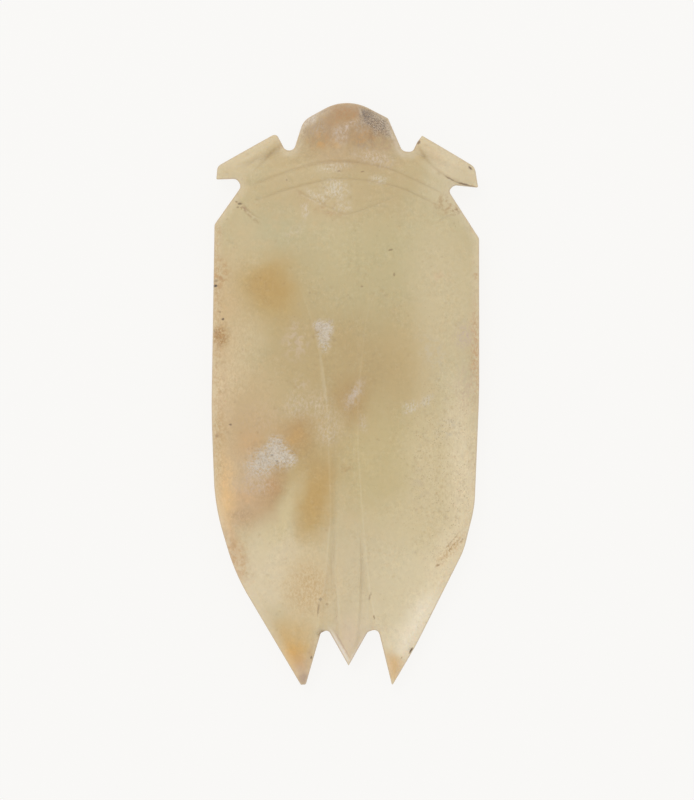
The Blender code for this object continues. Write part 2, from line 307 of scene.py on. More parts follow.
@dataclass(frozen=True)
class Form:
    """Heights of the carved back and the belly above the table, in mm."""

    crest: Stations = Stations(
        ((-30.5, 2.3), (-24.0, 3.5), (-12.0, 4.75), (0.0, 5.55), (12.0, 5.98), (18.0, 5.8),
         (23.0, 5.15), (27.0, 4.35), (29.0, 3.5), (30.5, 2.5)))
    back_rim: Stations = Stations(
        ((-30.5, 1.9), (-24.0, 2.2), (0.0, 2.6), (20.0, 2.5), (30.5, 1.9)))
    belly_rim: Stations = Stations(
        ((-30.5, 0.9), (-24.0, 1.0), (0.0, 1.2), (20.0, 1.1), (30.5, 1.1)))
    keel: Stations = Stations(
        ((-30.5, 0.75), (-26.0, 0.35), (-21.0, 0.0), (-20.0, 0.0), (21.0, 0.0), (22.0, 0.0),
         (26.0, 0.3), (30.5, 1.0)))
    left_wing: Stations = Stations(
        ((-30.5, -3.6), (-24.1, -2.89), (-21.4, -2.68), (-16.3, -1.9), (-9.1, -1.6),
         (-0.9, -1.93), (5.0, -2.89), (8.1, -3.66), (11.7, -4.95), (18.0, -6.0),
         (24.0, -3.4), (30.5, -1.0)))
    right_wing: Stations = Stations(
        ((-30.5, 3.9), (-24.2, 3.35), (-20.2, 2.53), (-16.3, 2.11), (-8.6, 1.49),
         (-0.9, 1.29), (4.3, 1.75), (7.4, 2.11), (9.7, 2.78), (11.5, 3.81),
         (18.0, 6.0), (24.0, 3.4), (30.5, 1.0)))
    left_rib: Stations = Stations(
        ((-30.5, -0.1), (-24.0, -0.64), (-21.0, -0.77), (-15.5, -0.95), (-9.0, -0.75),
         (30.5, -0.4)))
    right_rib: Stations = Stations(
        ((-30.5, 0.5), (-24.0, 1.19), (-21.0, 1.42), (-15.0, 1.4), (-9.0, 0.75), (30.5, 0.4)))
    head_width: Stations = Stations(
        ((19.0, 13.8), (21.5, 13.8), (23.0, 13.1), (24.0, 10.2), (25.2, 6.4), (26.5, 5.3),
         (28.4, 4.4), (29.6, 3.2), (30.5, 2.6)))
    sink: Stations = Stations(
        ((-30.5, 0.3), (-18.0, 0.28), (-10.0, 0.18), (4.0, 0.15), (12.5, 0.0), (30.5, 0.0)))
    rib_rise: Stations = Stations(((-30.5, 0.22), (-18.0, 0.22), (-11.0, 0.0), (30.5, 0.0)))
    wing_rounding: float = 1.5
    head_rounding: float = 2.3
    head_foot: float = 23.0
    end_reach: float = 30.5
    tail_margin: float = 0.22
    levels: int = 160
    bevel_width: float = 0.75
    bevel_drop: float = 0.35
    wing_step: float = 0.7
    rib_step: float = 0.25
    belly_flat: float = 5.0
    belly_bevel: float = 0.22
    flank_top: float = 16.0
    eye_half_sizes: tuple[float, float, float] = (4.3, 1.5, 1.0)
    eyes: tuple[Eye, ...] = (Eye((10.6, 23.75), 1.9, -30.0), Eye((-10.3, 23.95), 1.9, 30.0))
    eye_blend: float = 0.12
    nicks: tuple[Nick, ...] = (
        Nick(-2.5, -24.7, 0.55, 0.9), Nick(6.75, -26.4, 0.35, 0.5), Nick(-13.6, 11.1, 0.4, 0.5),
        Nick(-13.3, 6.2, 0.7, 0.22), Nick(12.9, 23.3, 0.3, 0.25), Nick(7.5, 26.1, 0.3, 0.3),
        Nick(-11.1, 19.6, 0.35, 0.2),
    )

    def half_width(self, points: Array, rim: Array) -> Array:
        """Distance from the middle line to the outer rim on each point's own side.

        Args:
            points: Array of (x, y).
            rim: Closed rim polygon.

        Returns:
            One distance for each point.
        """
        x, y = points.T
        after = np.roll(rim, -1, 0)
        levels = np.linspace(rim[:, 1].min() + self.tail_margin, self.flank_top, self.levels)
        flanks = []
        for side in (-1.0, 1.0):
            reaches = []
            for level in levels:
                crossing = (rim[:, 1] - level) * (after[:, 1] - level) < 0.0
                low, high = rim[crossing], after[crossing]
                share = (level - low[:, 1]) / (high[:, 1] - low[:, 1])
                reaches.append((side * (low[:, 0] + share * (high[:, 0] - low[:, 0]))).max())
            flanks.append(np.interp(y, levels, reaches))
        flank = np.where(x < 0.0, *flanks)
        share = ease((y - self.flank_top) / (self.head_foot - self.flank_top))
        return flank + (self.head_width.at(y) - flank) * share

    def back(self, points: Array, rim: Array, gap: Array) -> Array:
        """Height of the carved back.

        Args:
            points: Array of (x, y).
            rim: Closed rim polygon.
            gap: Distance of each point from the rim.

        Returns:
            One height for each point.
        """
        x, y = points.T
        inner = self.half_width(points, rim) - self.bevel_width
        share = np.clip(np.abs(x) / inner, 0.0, 1.0)
        head_share = np.clip((y - self.head_foot) / (self.end_reach - self.head_foot), 0.0, 1.0)
        rounding = self.wing_rounding + (self.head_rounding - self.wing_rounding) * head_share
        shoulder = self.back_rim.at(y) + self.bevel_drop
        height = shoulder + (self.crest.at(y) - shoulder) * (1.0 - share ** rounding)
        over = np.clip((np.abs(x) - inner) / self.bevel_width, 0.0, 2.0)
        edge = np.clip(1.0 - gap / self.bevel_width, 0.0, 1.0)
        height -= self.bevel_drop * np.maximum(over, edge)
        between = ease((x - self.left_wing.at(y)) / self.wing_step)
        between = between * ease((self.right_wing.at(y) - x) / self.wing_step)
        rib = ease((x - self.left_rib.at(y) + self.rib_step) / self.rib_step)
        rib *= ease((self.right_rib.at(y) + self.rib_step - x) / self.rib_step)
        height -= between * (self.sink.at(y) - rib * self.rib_rise.at(y))
        length, width, rise = self.eye_half_sizes
        for eye in self.eyes:
            along, across = turned(points, eye.centre, eye.turn)
            inside = np.clip(1.0 - (along / length) ** 2 - (across / width) ** 2, 0.0, 1.0)
            lens = (eye.foot + rise * np.sqrt(inside)) * (inside > 0.0) - self.bevel_drop * edge
            spread = np.clip(0.5 + 0.5 * (lens - height) / self.eye_blend, 0.0, 1.0)
            height += (lens - height) * spread + self.eye_blend * spread * (1.0 - spread)
        for nick in self.nicks:
            near = np.hypot(x - nick.x, y - nick.y) / nick.radius
            height -= nick.depth * ease(1.0 - near)
        return height

    def belly(self, points: Array, rim: Array, gap: Array) -> Array:
        """Height of the belly: a flat middle band and two bevels that rise to the rim.

        Args:
            points: Array of (x, y).
            rim: Closed rim polygon.
            gap: Distance of each point from the rim.

        Returns:
            One height for each point.
        """
        x, y = points.T
        reach = self.half_width(points, rim)
        flat = np.minimum(self.belly_flat, reach / 2.0)
        rise = np.clip((np.abs(x) - flat) / (reach - flat), 0.0, 1.1)
        edge = self.belly_rim.at(y)
        keel = np.minimum(self.keel.at(y), edge)
        bevel = self.belly_bevel * np.clip(1.0 - gap / self.bevel_width, 0.0, 1.0)
        return np.maximum(keel + (edge - keel) * rise + bevel, 0.0)


class PointSieve:
    """Keeps points that stand at least a set gap from all the points kept before."""

    def __init__(self, cell: float) -> None:
        """Start with no points; the cell is the widest gap that will be asked for, in mm."""
        self.cell = cell
        self.cells: dict[tuple[int, int], list[tuple[float, float]]] = {}
        self.kept: list[tuple[float, float]] = []

    def add(self, points: Array, gap: float) -> None:
        """Offer points in turn.

        Args:
            points: Array of (x, y).
            gap: Smallest distance to the points kept before; zero keeps every point.
        """
        around = [(i, j) for i in (-1, 0, 1) for j in (-1, 0, 1)]
        for x, y in points.tolist():
            column, row = math.floor(x / self.cell), math.floor(y / self.cell)
            near = (self.cells.get((column + i, row + j), ()) for i, j in around)
            crowd = (point for cell in near for point in cell)
            if gap and any((u - x) ** 2 + (v - y) ** 2 < gap * gap for u, v in crowd):
                continue
            self.cells.setdefault((column, row), []).append((x, y))
            self.kept.append((x, y))


@dataclass(frozen=True)
class Stroke:
    """One cut or raised line, as points (x, y) in mm that it runs smoothly through."""

    name: str
    points: Pairs
    weight: float = 1.0
    start_share: float = 1.0
    step: float = 0.12
    taper: float = 1.6
    end_share: float = 0.15

    def path(self) -> Array:
        """Evenly stepped points along the stroke.

        Returns:
            Array of (x, y).
        """
        given = np.array(self.points)
        knots = np.concatenate(([0.0], np.cumsum(np.linalg.norm(np.diff(given, axis=0), axis=1))))
        places = np.linspace(0.0, knots[-1], max(3, round(knots[-1] / self.step)))
        return np.stack([Stations(tuple(zip(knots, column))).at(places) for column in given.T], 1)

    def rows(self, half_width: float) -> Array:
        """Points beside the stroke, for a mesh that follows it.

        Args:
            half_width: Half width of the cut, in mm.

        Returns:
            Array of (x, y): the stroke itself and two rows on either side.
        """
        path = self.path()
        along = np.gradient(path, axis=0)
        aside = np.stack((-along[:, 1], along[:, 0]), 1)
        aside /= np.linalg.norm(aside, axis=1, keepdims=True)
        shares = (0.0, 0.5, -0.5, 1.0, -1.0)
        return np.concatenate([path + aside * share * half_width for share in shares])

    def weights(self, count: int) -> Array:
        """Strength along the stroke, thinning out towards both ends.

        Args:
            count: Number of points of the path.

        Returns:
            One weight for each point.
        """
        length = count * self.step
        run = np.linspace(0.0, length, count)
        near_end = np.minimum(run, length - run) / self.taper
        growth = self.start_share + (1.0 - self.start_share) * run / length
        return self.weight * growth * (self.end_share + (1.0 - self.end_share) * ease(near_end))


@dataclass(frozen=True)
class StrokeSet:
    """Strokes that one pass of the carving tool makes, with the tool's sizes in mm."""

    name: str
    side: Side
    half_width: float
    depth: float
    mark: str
    strokes: tuple[Stroke, ...]

    def curves(self) -> bpy.types.Object:
        """Guide curves of the strokes on the plane of the table.

        Returns:
            The curve object; the radius of each point is its weight.
        """
        curve = bpy.data.curves.new(self.name, "CURVE")
        curve.dimensions = "3D"
        for stroke in self.strokes:
            path = stroke.path()
            spline = curve.splines.new("POLY")
            spline.points.add(len(path) - 1)
            for point, (x, y), weight in zip(spline.points, path, stroke.weights(len(path))):
                point.co = (x * MM, y * MM, 0.0, 1.0)
                point.radius = weight
        return new_object(self.name, curve)


BACK_CUTS = StrokeSet("back_cuts", Side.BACK, 0.26, 0.1, "cut", (
    Stroke("collar_upper", ((-10.1, 21.3), (-4.95, 23.2), (-1.6, 23.85), (1.5, 23.75),
                            (4.6, 23.1), (10.3, 20.5)), 0.8),
    Stroke("collar_lower", ((-9.1, 19.9), (-6.0, 21.0), (-0.6, 22.1), (5.1, 21.35),
                            (9.5, 19.4)), 0.75),
    Stroke("shield", ((-5.3, 21.0), (-0.8, 18.7), (0.15, 18.45), (3.0, 19.4), (5.5, 20.5)), 0.5),
    Stroke("right_eye", ((7.1, 26.3), (7.6, 25.3), (8.3, 24.2), (9.7, 22.9), (11.4, 21.85),
                         (13.4, 21.1))),
    Stroke("left_eye", ((-6.6, 25.9), (-7.4, 25.05), (-8.6, 23.8), (-9.9, 22.6))),
    Stroke("right_brow", ((6.7, 24.55), (7.4, 23.7), (8.4, 22.8)), 0.55),
    Stroke("left_brow", ((-8.55, 24.7), (-9.6, 23.9), (-10.6, 23.1)), 0.55),
    Stroke("right_root", ((11.4, 18.7), (10.25, 18.15), (8.6, 17.2)), 0.6),
    Stroke("left_root", ((-11.2, 20.5), (-10.65, 19.6), (-9.65, 18.55), (-8.3, 17.8)), 0.7),
    Stroke("collar_cross", ((-6.55, 23.0), (-5.7, 22.0), (-5.1, 21.0)), 0.5),
    Stroke("rib_left", ((-1.5, -16.0), (-1.45, -18.2), (-1.4, -21.4)), 0.4),
    Stroke("rib_right", ((1.57, -14.9), (1.6, -18.1), (1.5, -21.1), (1.25, -24.0)), 0.3),
))
BACK_RIDGES = StrokeSet("back_ridges", Side.BACK, 0.15, -0.028, "ridge", (
    Stroke("left_wing_edge", ((-4.95, 11.75), (-3.66, 8.14), (-2.89, 5.05), (-2.37, 3.0),
                              (-1.93, -0.9), (-1.73, -5.5), (-1.6, -9.1), (-1.55, -12.5),
                              (-1.86, -16.3), (-2.24, -20.2), (-2.68, -21.4), (-2.85, -24.0)),
           1.0, 0.2),
    Stroke("right_wing_edge", ((3.81, 11.5), (2.78, 9.7), (2.11, 7.4), (1.75, 4.3),
                               (1.29, -0.9), (1.29, -5.5), (1.49, -8.6), (1.75, -12.5),
                               (2.11, -16.3), (2.53, -20.2), (3.04, -23.3)), 1.0, 0.2),
    Stroke("rib_edge", ((-0.94, -15.7), (-1.08, -18.1), (-0.77, -21.1), (-0.64, -23.7)), 1.3),
))
BELLY_CUTS = StrokeSet("belly_cuts", Side.BELLY, 0.24, 0.16, "cut_below", (
    Stroke("mouth_left", ((-2.4, 25.0), (-1.5, 20.0), (-0.25, 13.5))),
    Stroke("mouth_right", ((2.4, 25.0), (1.5, 20.0), (0.25, 13.5))),
    Stroke("cheek_left", ((-9.6, 20.0), (-6.2, 14.0), (-3.9, 4.0), (-3.1, -10.0), (-2.7, -22.0))),
    Stroke("cheek_right", ((9.6, 20.0), (6.2, 14.0), (3.9, 4.0), (3.1, -10.0), (2.7, -22.0))),
    Stroke("ring_upper", ((-2.5, -8.0), (0.0, -8.8), (2.5, -8.0))),
    Stroke("ring_middle", ((-2.4, -12.5), (0.0, -13.3), (2.4, -12.5))),
    Stroke("ring_lower", ((-2.2, -17.0), (0.0, -17.8), (2.2, -17.0))),
))


class NodeBench:
    """Places and joins nodes in one node tree."""

    def __init__(self, tree: bpy.types.NodeTree) -> None:
        """Work on a shader or geometry tree."""
        self.tree = tree
        self.shader = isinstance(tree, bpy.types.ShaderNodeTree)
        self.given: bpy.types.NodeOutputs | None = None

    @classmethod
    def start(cls, name: str, kind: str, output: str, **inputs: str) -> NodeBench:
        """Make a node tree with named sockets.

        Args:
            name: Name of the tree.
            kind: GEOMETRY or SHADER.
            output: "Geometry", which adds inputs for a geometry and a material, or "Mask".
            **inputs: Kind of socket by input name, with underscores for spaces.

        Returns:
            A bench on the tree, with its inputs as `given`.
        """
        tree = bpy.data.node_groups.new(name, kind)
        whole = output == "Geometry"
        if whole:
            inputs = {"Geometry": "Geometry", **inputs, "Material": "Material"}
        for label, socket in inputs.items():
            tree.interface.new_socket(
                label.replace("_", " "), in_out="INPUT", socket_type=f"NodeSocket{socket}")
        kept = "NodeSocketGeometry" if whole else "NodeSocketFloat"
        tree.interface.new_socket(output, in_out="OUTPUT", socket_type=kept)
        bench = cls(tree)
        bench.given = tree.nodes.new("NodeGroupInput").outputs
        return bench

    def end(self, result: Socket) -> bpy.types.NodeTree:
        """Close the tree with its one result.

        Args:
            result: The mask, or the geometry, which is realized and given the material first.

        Returns:
            The finished tree.
        """
        if result.type == "GEOMETRY":
            whole = self.add("GeometryNodeRealizeInstances", {"Geometry": result})
            result = self.add("GeometryNodeSetMaterial",
                              {"Geometry": whole, "Material": self.given["Material"]})
        self.feed(self.tree.nodes.new("NodeGroupOutput").inputs[0], result)
        return self.tree

    def feed(self, socket: Socket, value: object) -> None:
        """Join a socket to another one, or set its plain value."""
        if isinstance(value, Socket):
            self.tree.links.new(value, socket)
        else:
            socket.default_value = value

    def add(self, kind: str, inputs: dict[int | str, object] | None = None,
            output: int | str = 0, **settings: object) -> Socket:
        """Place a node and feed it.

        Args:
            kind: Type of the node.
            inputs: Socket or plain value for each input, by its name or number.
            output: Name or number of the output that is wanted.
            **settings: Settings of the node.

        Returns:
            The output.
        """
        node = self.tree.nodes.new(kind)
        for name, value in settings.items():
            setattr(node, name, value)
        for name, value in (inputs or {}).items():
            self.feed(node.inputs[name], value)
        return node.outputs[output]

    def maths(self, operation: str, first: object, second: object, clamp: bool = False) -> Socket:
        """Result of one step of arithmetic."""
        return self.add(
            "ShaderNodeMath", {0: first, 1: second}, operation=operation, use_clamp=clamp)

    def times(self, first: object, *others: object) -> Socket:
        """Product of values, taken in turn."""
        for other in others:
            first = self.maths("MULTIPLY", first, other)
        return first

    def rest(self, share: object) -> Socket:
        """What a share leaves of one."""
        return self.maths("SUBTRACT", 1.0, share)

    def swing(self, noise: Socket, amount: object) -> Socket:
        """Noise as a swing to either side of zero."""
        return self.times(self.maths("SUBTRACT", noise, 0.5), amount)

    def vector(self, operation: str, first: object, second: object) -> Socket:
        """Result of one step of vector arithmetic."""
        slot = "Scale" if operation == "SCALE" else 1
        return self.add("ShaderNodeVectorMath", {0: first, slot: second}, operation=operation)

    def split(self, place: Socket) -> bpy.types.NodeOutputs:
        """The three parts of a vector."""
        return self.add("ShaderNodeSeparateXYZ", {0: place}).node.outputs

    def step(self, value: object, low: object, high: object, start: object = 0.0,
             end: object = 1.0) -> Socket:
        """Soft step of a value from one level to another."""
        names = ("Value", "From Min", "From Max", "To Min", "To Max")
        return self.add("ShaderNodeMapRange", dict(zip(names, (value, low, high, start, end))),
                        interpolation_type="SMOOTHSTEP")

    def blend(self, share: object, first: object, second: object) -> Socket:
        """Colour between two colours."""
        return self.add("ShaderNodeMix", {0: share, 6: first, 7: second}, 2,
                        data_type="RGBA", clamp_factor=True)

    def tint(self, share: object, under: object, tone: Tone) -> Socket:
        """Colour with a share of a display tone laid over it."""
        return self.blend(share, under, from_srgb(tone))

    def noise(self, place: object, scale: float, detail: float = 3.0, roughness: float = 0.55,
              output: int = 0) -> Socket:
        """Noise texture of a size, in waves per unit of the place."""
        return self.add("ShaderNodeTexNoise", {
            "Vector": place, "Scale": scale, "Detail": detail, "Roughness": roughness}, output)

    def wander(self, place: object, scale: float, amount: float) -> Socket:
        """Place shifted by noise, for edges that wander."""
        shift = self.vector("SUBTRACT", self.noise(place, scale, 4.0, output=1), (0.5, 0.5, 0.5))
        return self.vector("ADD", place, self.vector("SCALE", shift, amount))

    def read(self, name: str, output: str = "Fac") -> Socket:
        """Value stored on the mesh under a name."""
        if self.shader:
            return self.add("ShaderNodeAttribute", {}, output, attribute_name=name)
        return self.add("GeometryNodeInputNamedAttribute", {"Name": name}, data_type="FLOAT")

    def store(self, geometry: Socket, name: object, value: object, kind: str = "FLOAT") -> Socket:
        """Geometry with a value stored on its points under a name."""
        return self.add("GeometryNodeStoreNamedAttribute", {
            "Geometry": geometry, "Name": name, "Value": value}, data_type=kind, domain="POINT")

    def nearest(self, geometry: Socket, place: Socket, part: str,
                name: str) -> tuple[Socket, Socket]:
        """Look up the nearest part of a geometry.

        Args:
            geometry: The geometry.
            place: Where to look from.
            part: "EDGES" or "POINTS".
            name: Attribute to read at the nearest point.

        Returns:
            The distance and the attribute.
        """
        distance = self.add("GeometryNodeProximity", {0: geometry, 2: place}, "Distance",
                            target_element=part)
        index = self.add("GeometryNodeSampleNearest", {
            "Geometry": geometry, "Sample Position": place}, domain="POINT")
        found = self.add("GeometryNodeSampleIndex", {
            "Geometry": geometry, "Value": self.read(name), "Index": index}, "Value",
            data_type="FLOAT", domain="POINT")
        return distance, found

    def bowl(self, distance: Socket, reach: Socket) -> Socket:
        """Round profile, one at no distance and zero from the reach on."""
        share = self.maths("DIVIDE", distance, reach)
        return self.step(self.maths("SUBTRACT", 1.0, share, True), 0.0, 1.0)

    def stain(self, group: bpy.types.NodeTree, stain: Stain, place: object) -> Socket:
        """Mask of one stain.

        Args:
            group: The stain node group of this kind of tree.
            stain: The stain.
            place: Place in mm that the mask is drawn on.

        Returns:
            The mask times the stain's strength.
        """
        mask = self.add("ShaderNodeGroup" if self.shader else "GeometryNodeGroup", {
            "Place": place, "Centre": (*stain.centre, 0.0), "Half Size": (*stain.half_size, 1.0),
            "Turn": math.radians(stain.turn), "Softness": stain.softness}, node_tree=group)
        return self.times(mask, stain.strength)

    def back_only(self, height: object, wall: object) -> Socket:
        """Mask of the back, faint on the flanks and empty on the belly."""
        return self.times(self.step(height, 0.7, 1.7), self.step(wall, 0.4, 1.0, 1.0, 0.25))


def run_tree(piece: bpy.types.Object, tree: bpy.types.NodeTree, **values: object) -> None:
    """Run a geometry tree on a piece and keep the result as the piece's plain mesh.

    Args:
        piece: The mesh object to work on.
        tree: The geometry tree.
        **values: Input values by input name, with underscores for spaces.
    """
    modifier = piece.modifiers.new(tree.name, "NODES")
    modifier.node_group = tree
    for item in tree.interface.items_tree:
        label = item.name.replace(" ", "_")
        if item.in_out == "INPUT" and label in values:
            modifier[item.identifier] = values[label]
    bpy.context.view_layer.update()
    graph = bpy.context.evaluated_depsgraph_get()
    result = bpy.data.meshes.new_from_object(
        piece.evaluated_get(graph), preserve_all_data_layers=True, depsgraph=graph)
    piece.modifiers.remove(modifier)
    old = piece.data
    piece.data = result
    bpy.data.meshes.remove(old)


def carving_tree() -> bpy.types.NodeTree:
    """Geometry tree that cuts or raises lines along guide curves.

    Returns:
        A tree with inputs for the guides, the side, the half width, the depth and the mark.
    """
    bench = NodeBench.start("carved lines", GEOMETRY, "Geometry", Guides="Object", Side="Float",
                            Half_Width="Float", Depth="Float", Mark="String")
    given = bench.given
    guides = bench.add("GeometryNodeObjectInfo", {"Object": given["Guides"]}, "Geometry",
                       transform_space="RELATIVE")
    weighted = bench.store(guides, "weight", bench.add("GeometryNodeInputRadius"))
    lines = bench.add("GeometryNodeCurveToMesh", {"Curve": weighted})
    parts = bench.split(bench.add("GeometryNodeInputPosition"))
    level = bench.add("ShaderNodeCombineXYZ", {0: parts[0], 1: parts[1]})
    distance, strength = bench.nearest(lines, level, "EDGES", "weight")
    same_side = bench.maths("GREATER_THAN", bench.times(bench.read("side"), given["Side"]), 0.5)
    reach = bench.times(given["Half Width"], bench.maths("MAXIMUM", strength, 0.05))
    amount = bench.times(bench.bowl(distance, reach), strength, same_side)
    drop = bench.times(amount, given["Depth"], given["Side"], -1.0)
    moved = bench.add("GeometryNodeSetPosition", {
        "Geometry": given["Geometry"], "Offset": bench.add("ShaderNodeCombineXYZ", {2: drop})})
    return bench.end(bench.store(moved, given["Mark"], amount))


def pitting_tree() -> bpy.types.NodeTree:
    """Geometry tree that scatters small weathered pits, denser where the surface is decayed.

    Returns:
        A tree with inputs for the density, the sizes of pits and waves, and the seed.
    """
    bench = NodeBench.start("weathered pits", GEOMETRY, "Geometry", Density="Float",
                            Pit_Radius="Float", Pit_Depth="Float", Wave_Height="Float",
                            Wave_Scale="Float", Smallest="Float", Seed="Int")
    given = bench.given
    points = bench.add("GeometryNodeDistributePointsOnFaces", {
        "Mesh": given["Geometry"], "Seed": given["Seed"],
        "Density": bench.times(given["Density"], bench.read("decay"))}, distribute_method="RANDOM")
    size = bench.add("FunctionNodeRandomValue", {
        2: given["Smallest"], 3: 1.0, "Seed": given["Seed"]}, 1, data_type="FLOAT")
    pits = bench.store(points, "pit_size", size)
    place = bench.add("GeometryNodeInputPosition")
    distance, share = bench.nearest(pits, place, "POINTS", "pit_size")
    bowl = bench.bowl(distance, bench.times(given["Pit Radius"], share))
    swell = bench.swing(bench.noise(place, given["Wave Scale"], 2.0), given["Wave Height"])
    on_back = bench.maths("MAXIMUM", bench.read("side"), 0.0)
    depth = bench.times(bowl, given["Pit Depth"], -1.0)
    lift = bench.times(bench.maths("ADD", depth, swell), on_back)
    offset = bench.vector("SCALE", bench.add("GeometryNodeInputNormal"), lift)
    moved = bench.add("GeometryNodeSetPosition", {"Geometry": given["Geometry"], "Offset": offset})
    return bench.end(bench.store(moved, "pit", bench.times(bowl, on_back)))


@dataclass(frozen=True)
class Stain:
    """Patch of colour in or on the stone, seen from above.

    Attributes:
        name: Plain name of the patch.
        centre: Place (x, y) in mm.
        half_size: Half sizes (along x, along y before turning) in mm.
        colour: Display colour.
        strength: Share of the colour at the middle.
        turn: Turn in degrees, anticlockwise.
        softness: Width of the edge as a share of the half size.
        grain: How the patch is broken up.
    """

    name: str
    centre: tuple[float, float]
    half_size: tuple[float, float]
    colour: Tone
    strength: float = 0.8
    turn: float = 0.0
    softness: float = 0.7
    grain: Grain = Grain.EVEN


def stains(table: str) -> tuple[Stain, ...]:
    """Stains from the lines of a table.

    Args:
        table: For each stain its name, place, half sizes, colour and strength and, as far as they
            aren't the usual ones, its turn, softness and grain.

    Returns:
        The stains in the table's order.
    """
    found = []
    for line in table.split("\n")[1:-1]:
        name, *words = line.split()
        grain = Grain(words.pop()) if words[-1].isalpha() else Grain.EVEN
        x, y, width, height, red, green, blue, *others = map(float, words)
        found.append(Stain(name, (x, y), (width, height), (red, green, blue), *others, grain=grain))
    return tuple(found)


CLOUDS = stains("""
middle_tan 0.67 2.27 5.98 8.45 181 157 111 0.85
middle_low_tan 0.05 -7.01 1.34 4.12 184 162 116 0.55 0 0.8
left_tan -4.69 5.57 3.51 8.25 184 162 117 0.75
upper_green 4.79 13.61 8.25 5.77 191 177 135 0.7
right_middle_tan 6.65 4.54 2.47 4.33 190 166 118 0.55 0 0.8
shoulder_tan -0.77 21.65 9.07 3.09 189 167 124 0.75
shoulder_pale_right 9.74 20.82 2.27 1.65 210 196 164 0.55 -30 0.8
left_pale -10.88 9.69 2.06 9.28 204 184 144 0.6 0 0.8
lower_green 4.38 -7.01 5.77 5.77 196 178 132 0.75
right_middle_pale 6.03 -14.02 3.3 2.89 209 192 153 0.7 0 0.8
right_wing_pale 9.95 10.72 3.51 8.66 204 188 151 0.8
right_wing_low 9.74 -9.28 3.3 8.25 211 195 157 0.85
foot_tan 1.29 -20.21 4.33 6.8 206 189 155 0.8
point_pale 2.32 -23.71 1.55 2.06 216 200 169 0.7 0 0.8
left_foot_cream -8.4 -18.97 3.09 4.74 215 199 167 0.9 -24
left_foot_tan -3.87 -20.62 2.68 4.33 212 191 152 0.8
right_foot_cream 8.71 -21.86 2.78 6.6 233 220 193 1 -28 0.8
right_foot_heart 8.09 -23.51 1.86 2.68 233 222 198 0.8 -28 0.8
right_foot_yellow 9.54 -18.35 2.68 2.68 216 200 163 0.6 0 0.8
right_foot_middle 5.31 -20 2.68 4.33 213 198 163 0.8 -14 0.8
right_flank_cream 12.42 -7.84 1.65 8.25 222 207 174 0.9 4 0.8
right_flank_low 10.98 -16.29 1.55 3.09 224 208 174 0.7 -20 0.8
left_flank_pale -12.32 0.82 1.86 5.15 215 193 155 0.85 0 0.8
left_flank_tan -12.73 8.66 1.44 3.92 204 177 134 0.7 0 0.8
left_flank_low -11.29 -8.45 1.86 6.19 211 183 147 0.6 0 0.8
brown_cloud -7.99 10.72 2.78 3.2 186 157 101 0.95 0 0.85
brown_cloud_heart -7.78 11.34 1.44 1.65 184 151 92 0.7 0 0.9
halo_brown 0.46 -0.41 1.65 2.27 178 148 100 0.8 -30 0.8
knee_brown -5.62 -4.74 1.75 2.27 180 145 96 1 -28
left_brown -4.18 -7.42 2.68 3.71 180 152 102 0.85 0 0.8
orange_streak -3.25 -11.34 1.55 3.51 187 155 97 1 -10 0.8
strip_brown -7.78 -9.9 0.93 3.09 180 147 102 0.95 -35 0.8
pale_slant -6.34 -12.16 0.93 4.12 206 189 147 0.75 -24 0.8
left_rust -10.26 -11.55 2.27 2.47 195 165 128 0.8
left_low_rim -12.73 -13.81 0.93 1.34 200 171 134 0.8 10 0.8
left_rust_low -12.11 -15.57 0.93 3.71 204 172 134 0.75 20 0.8
head_tan 0.15 27.11 4.74 3.4 174 146 108 1 0 0.6
head_foot -0.05 24.54 5.77 1.34 186 161 121 0.75
left_lobe -9.85 24.12 3.09 1.34 205 187 152 0.7 30
right_lobe 10.57 23.71 3.3 1.44 211 195 163 0.8 -30
right_lobe_brown 8.71 24.85 1.44 0.82 203 182 146 0.6 -34
left_tip_orange -5.21 -27.01 1.96 2.47 206 166 102 0.9 18 0.8
left_tip_heart -5.31 -27.63 1.13 1.24 214 165 84 0.9 30 0.9
left_tip_brown -4.28 -28.25 1.03 1.34 192 164 136 0.8 14 0.8
right_tip_orange 4.79 -28.66 1.03 1.75 208 170 116 1 -10 0.8
left_edge_glow -12.84 -9.9 1.13 3.51 223 186 133 0.9 6 0.9
left_tan_low -9.23 -3.92 2.89 3.3 191 163 120 0.95 0 0.8
crust_brown -8.61 -8.87 1.96 2.27 184 152 110 0.6 0 0.8
left_tan_middle -9.02 -0.41 1.86 2.27 196 172 130 0.6 0 0.8
left_rust_high -10.26 -5.36 1.24 1.34 203 167 122 0.6 0 0.8
left_rust_middle -10.46 -10.1 1.24 1.03 205 168 126 0.5 0 0.8
point_pink 0.36 -25.57 1.55 2.47 211 191 163 0.85 0 0.8
""")
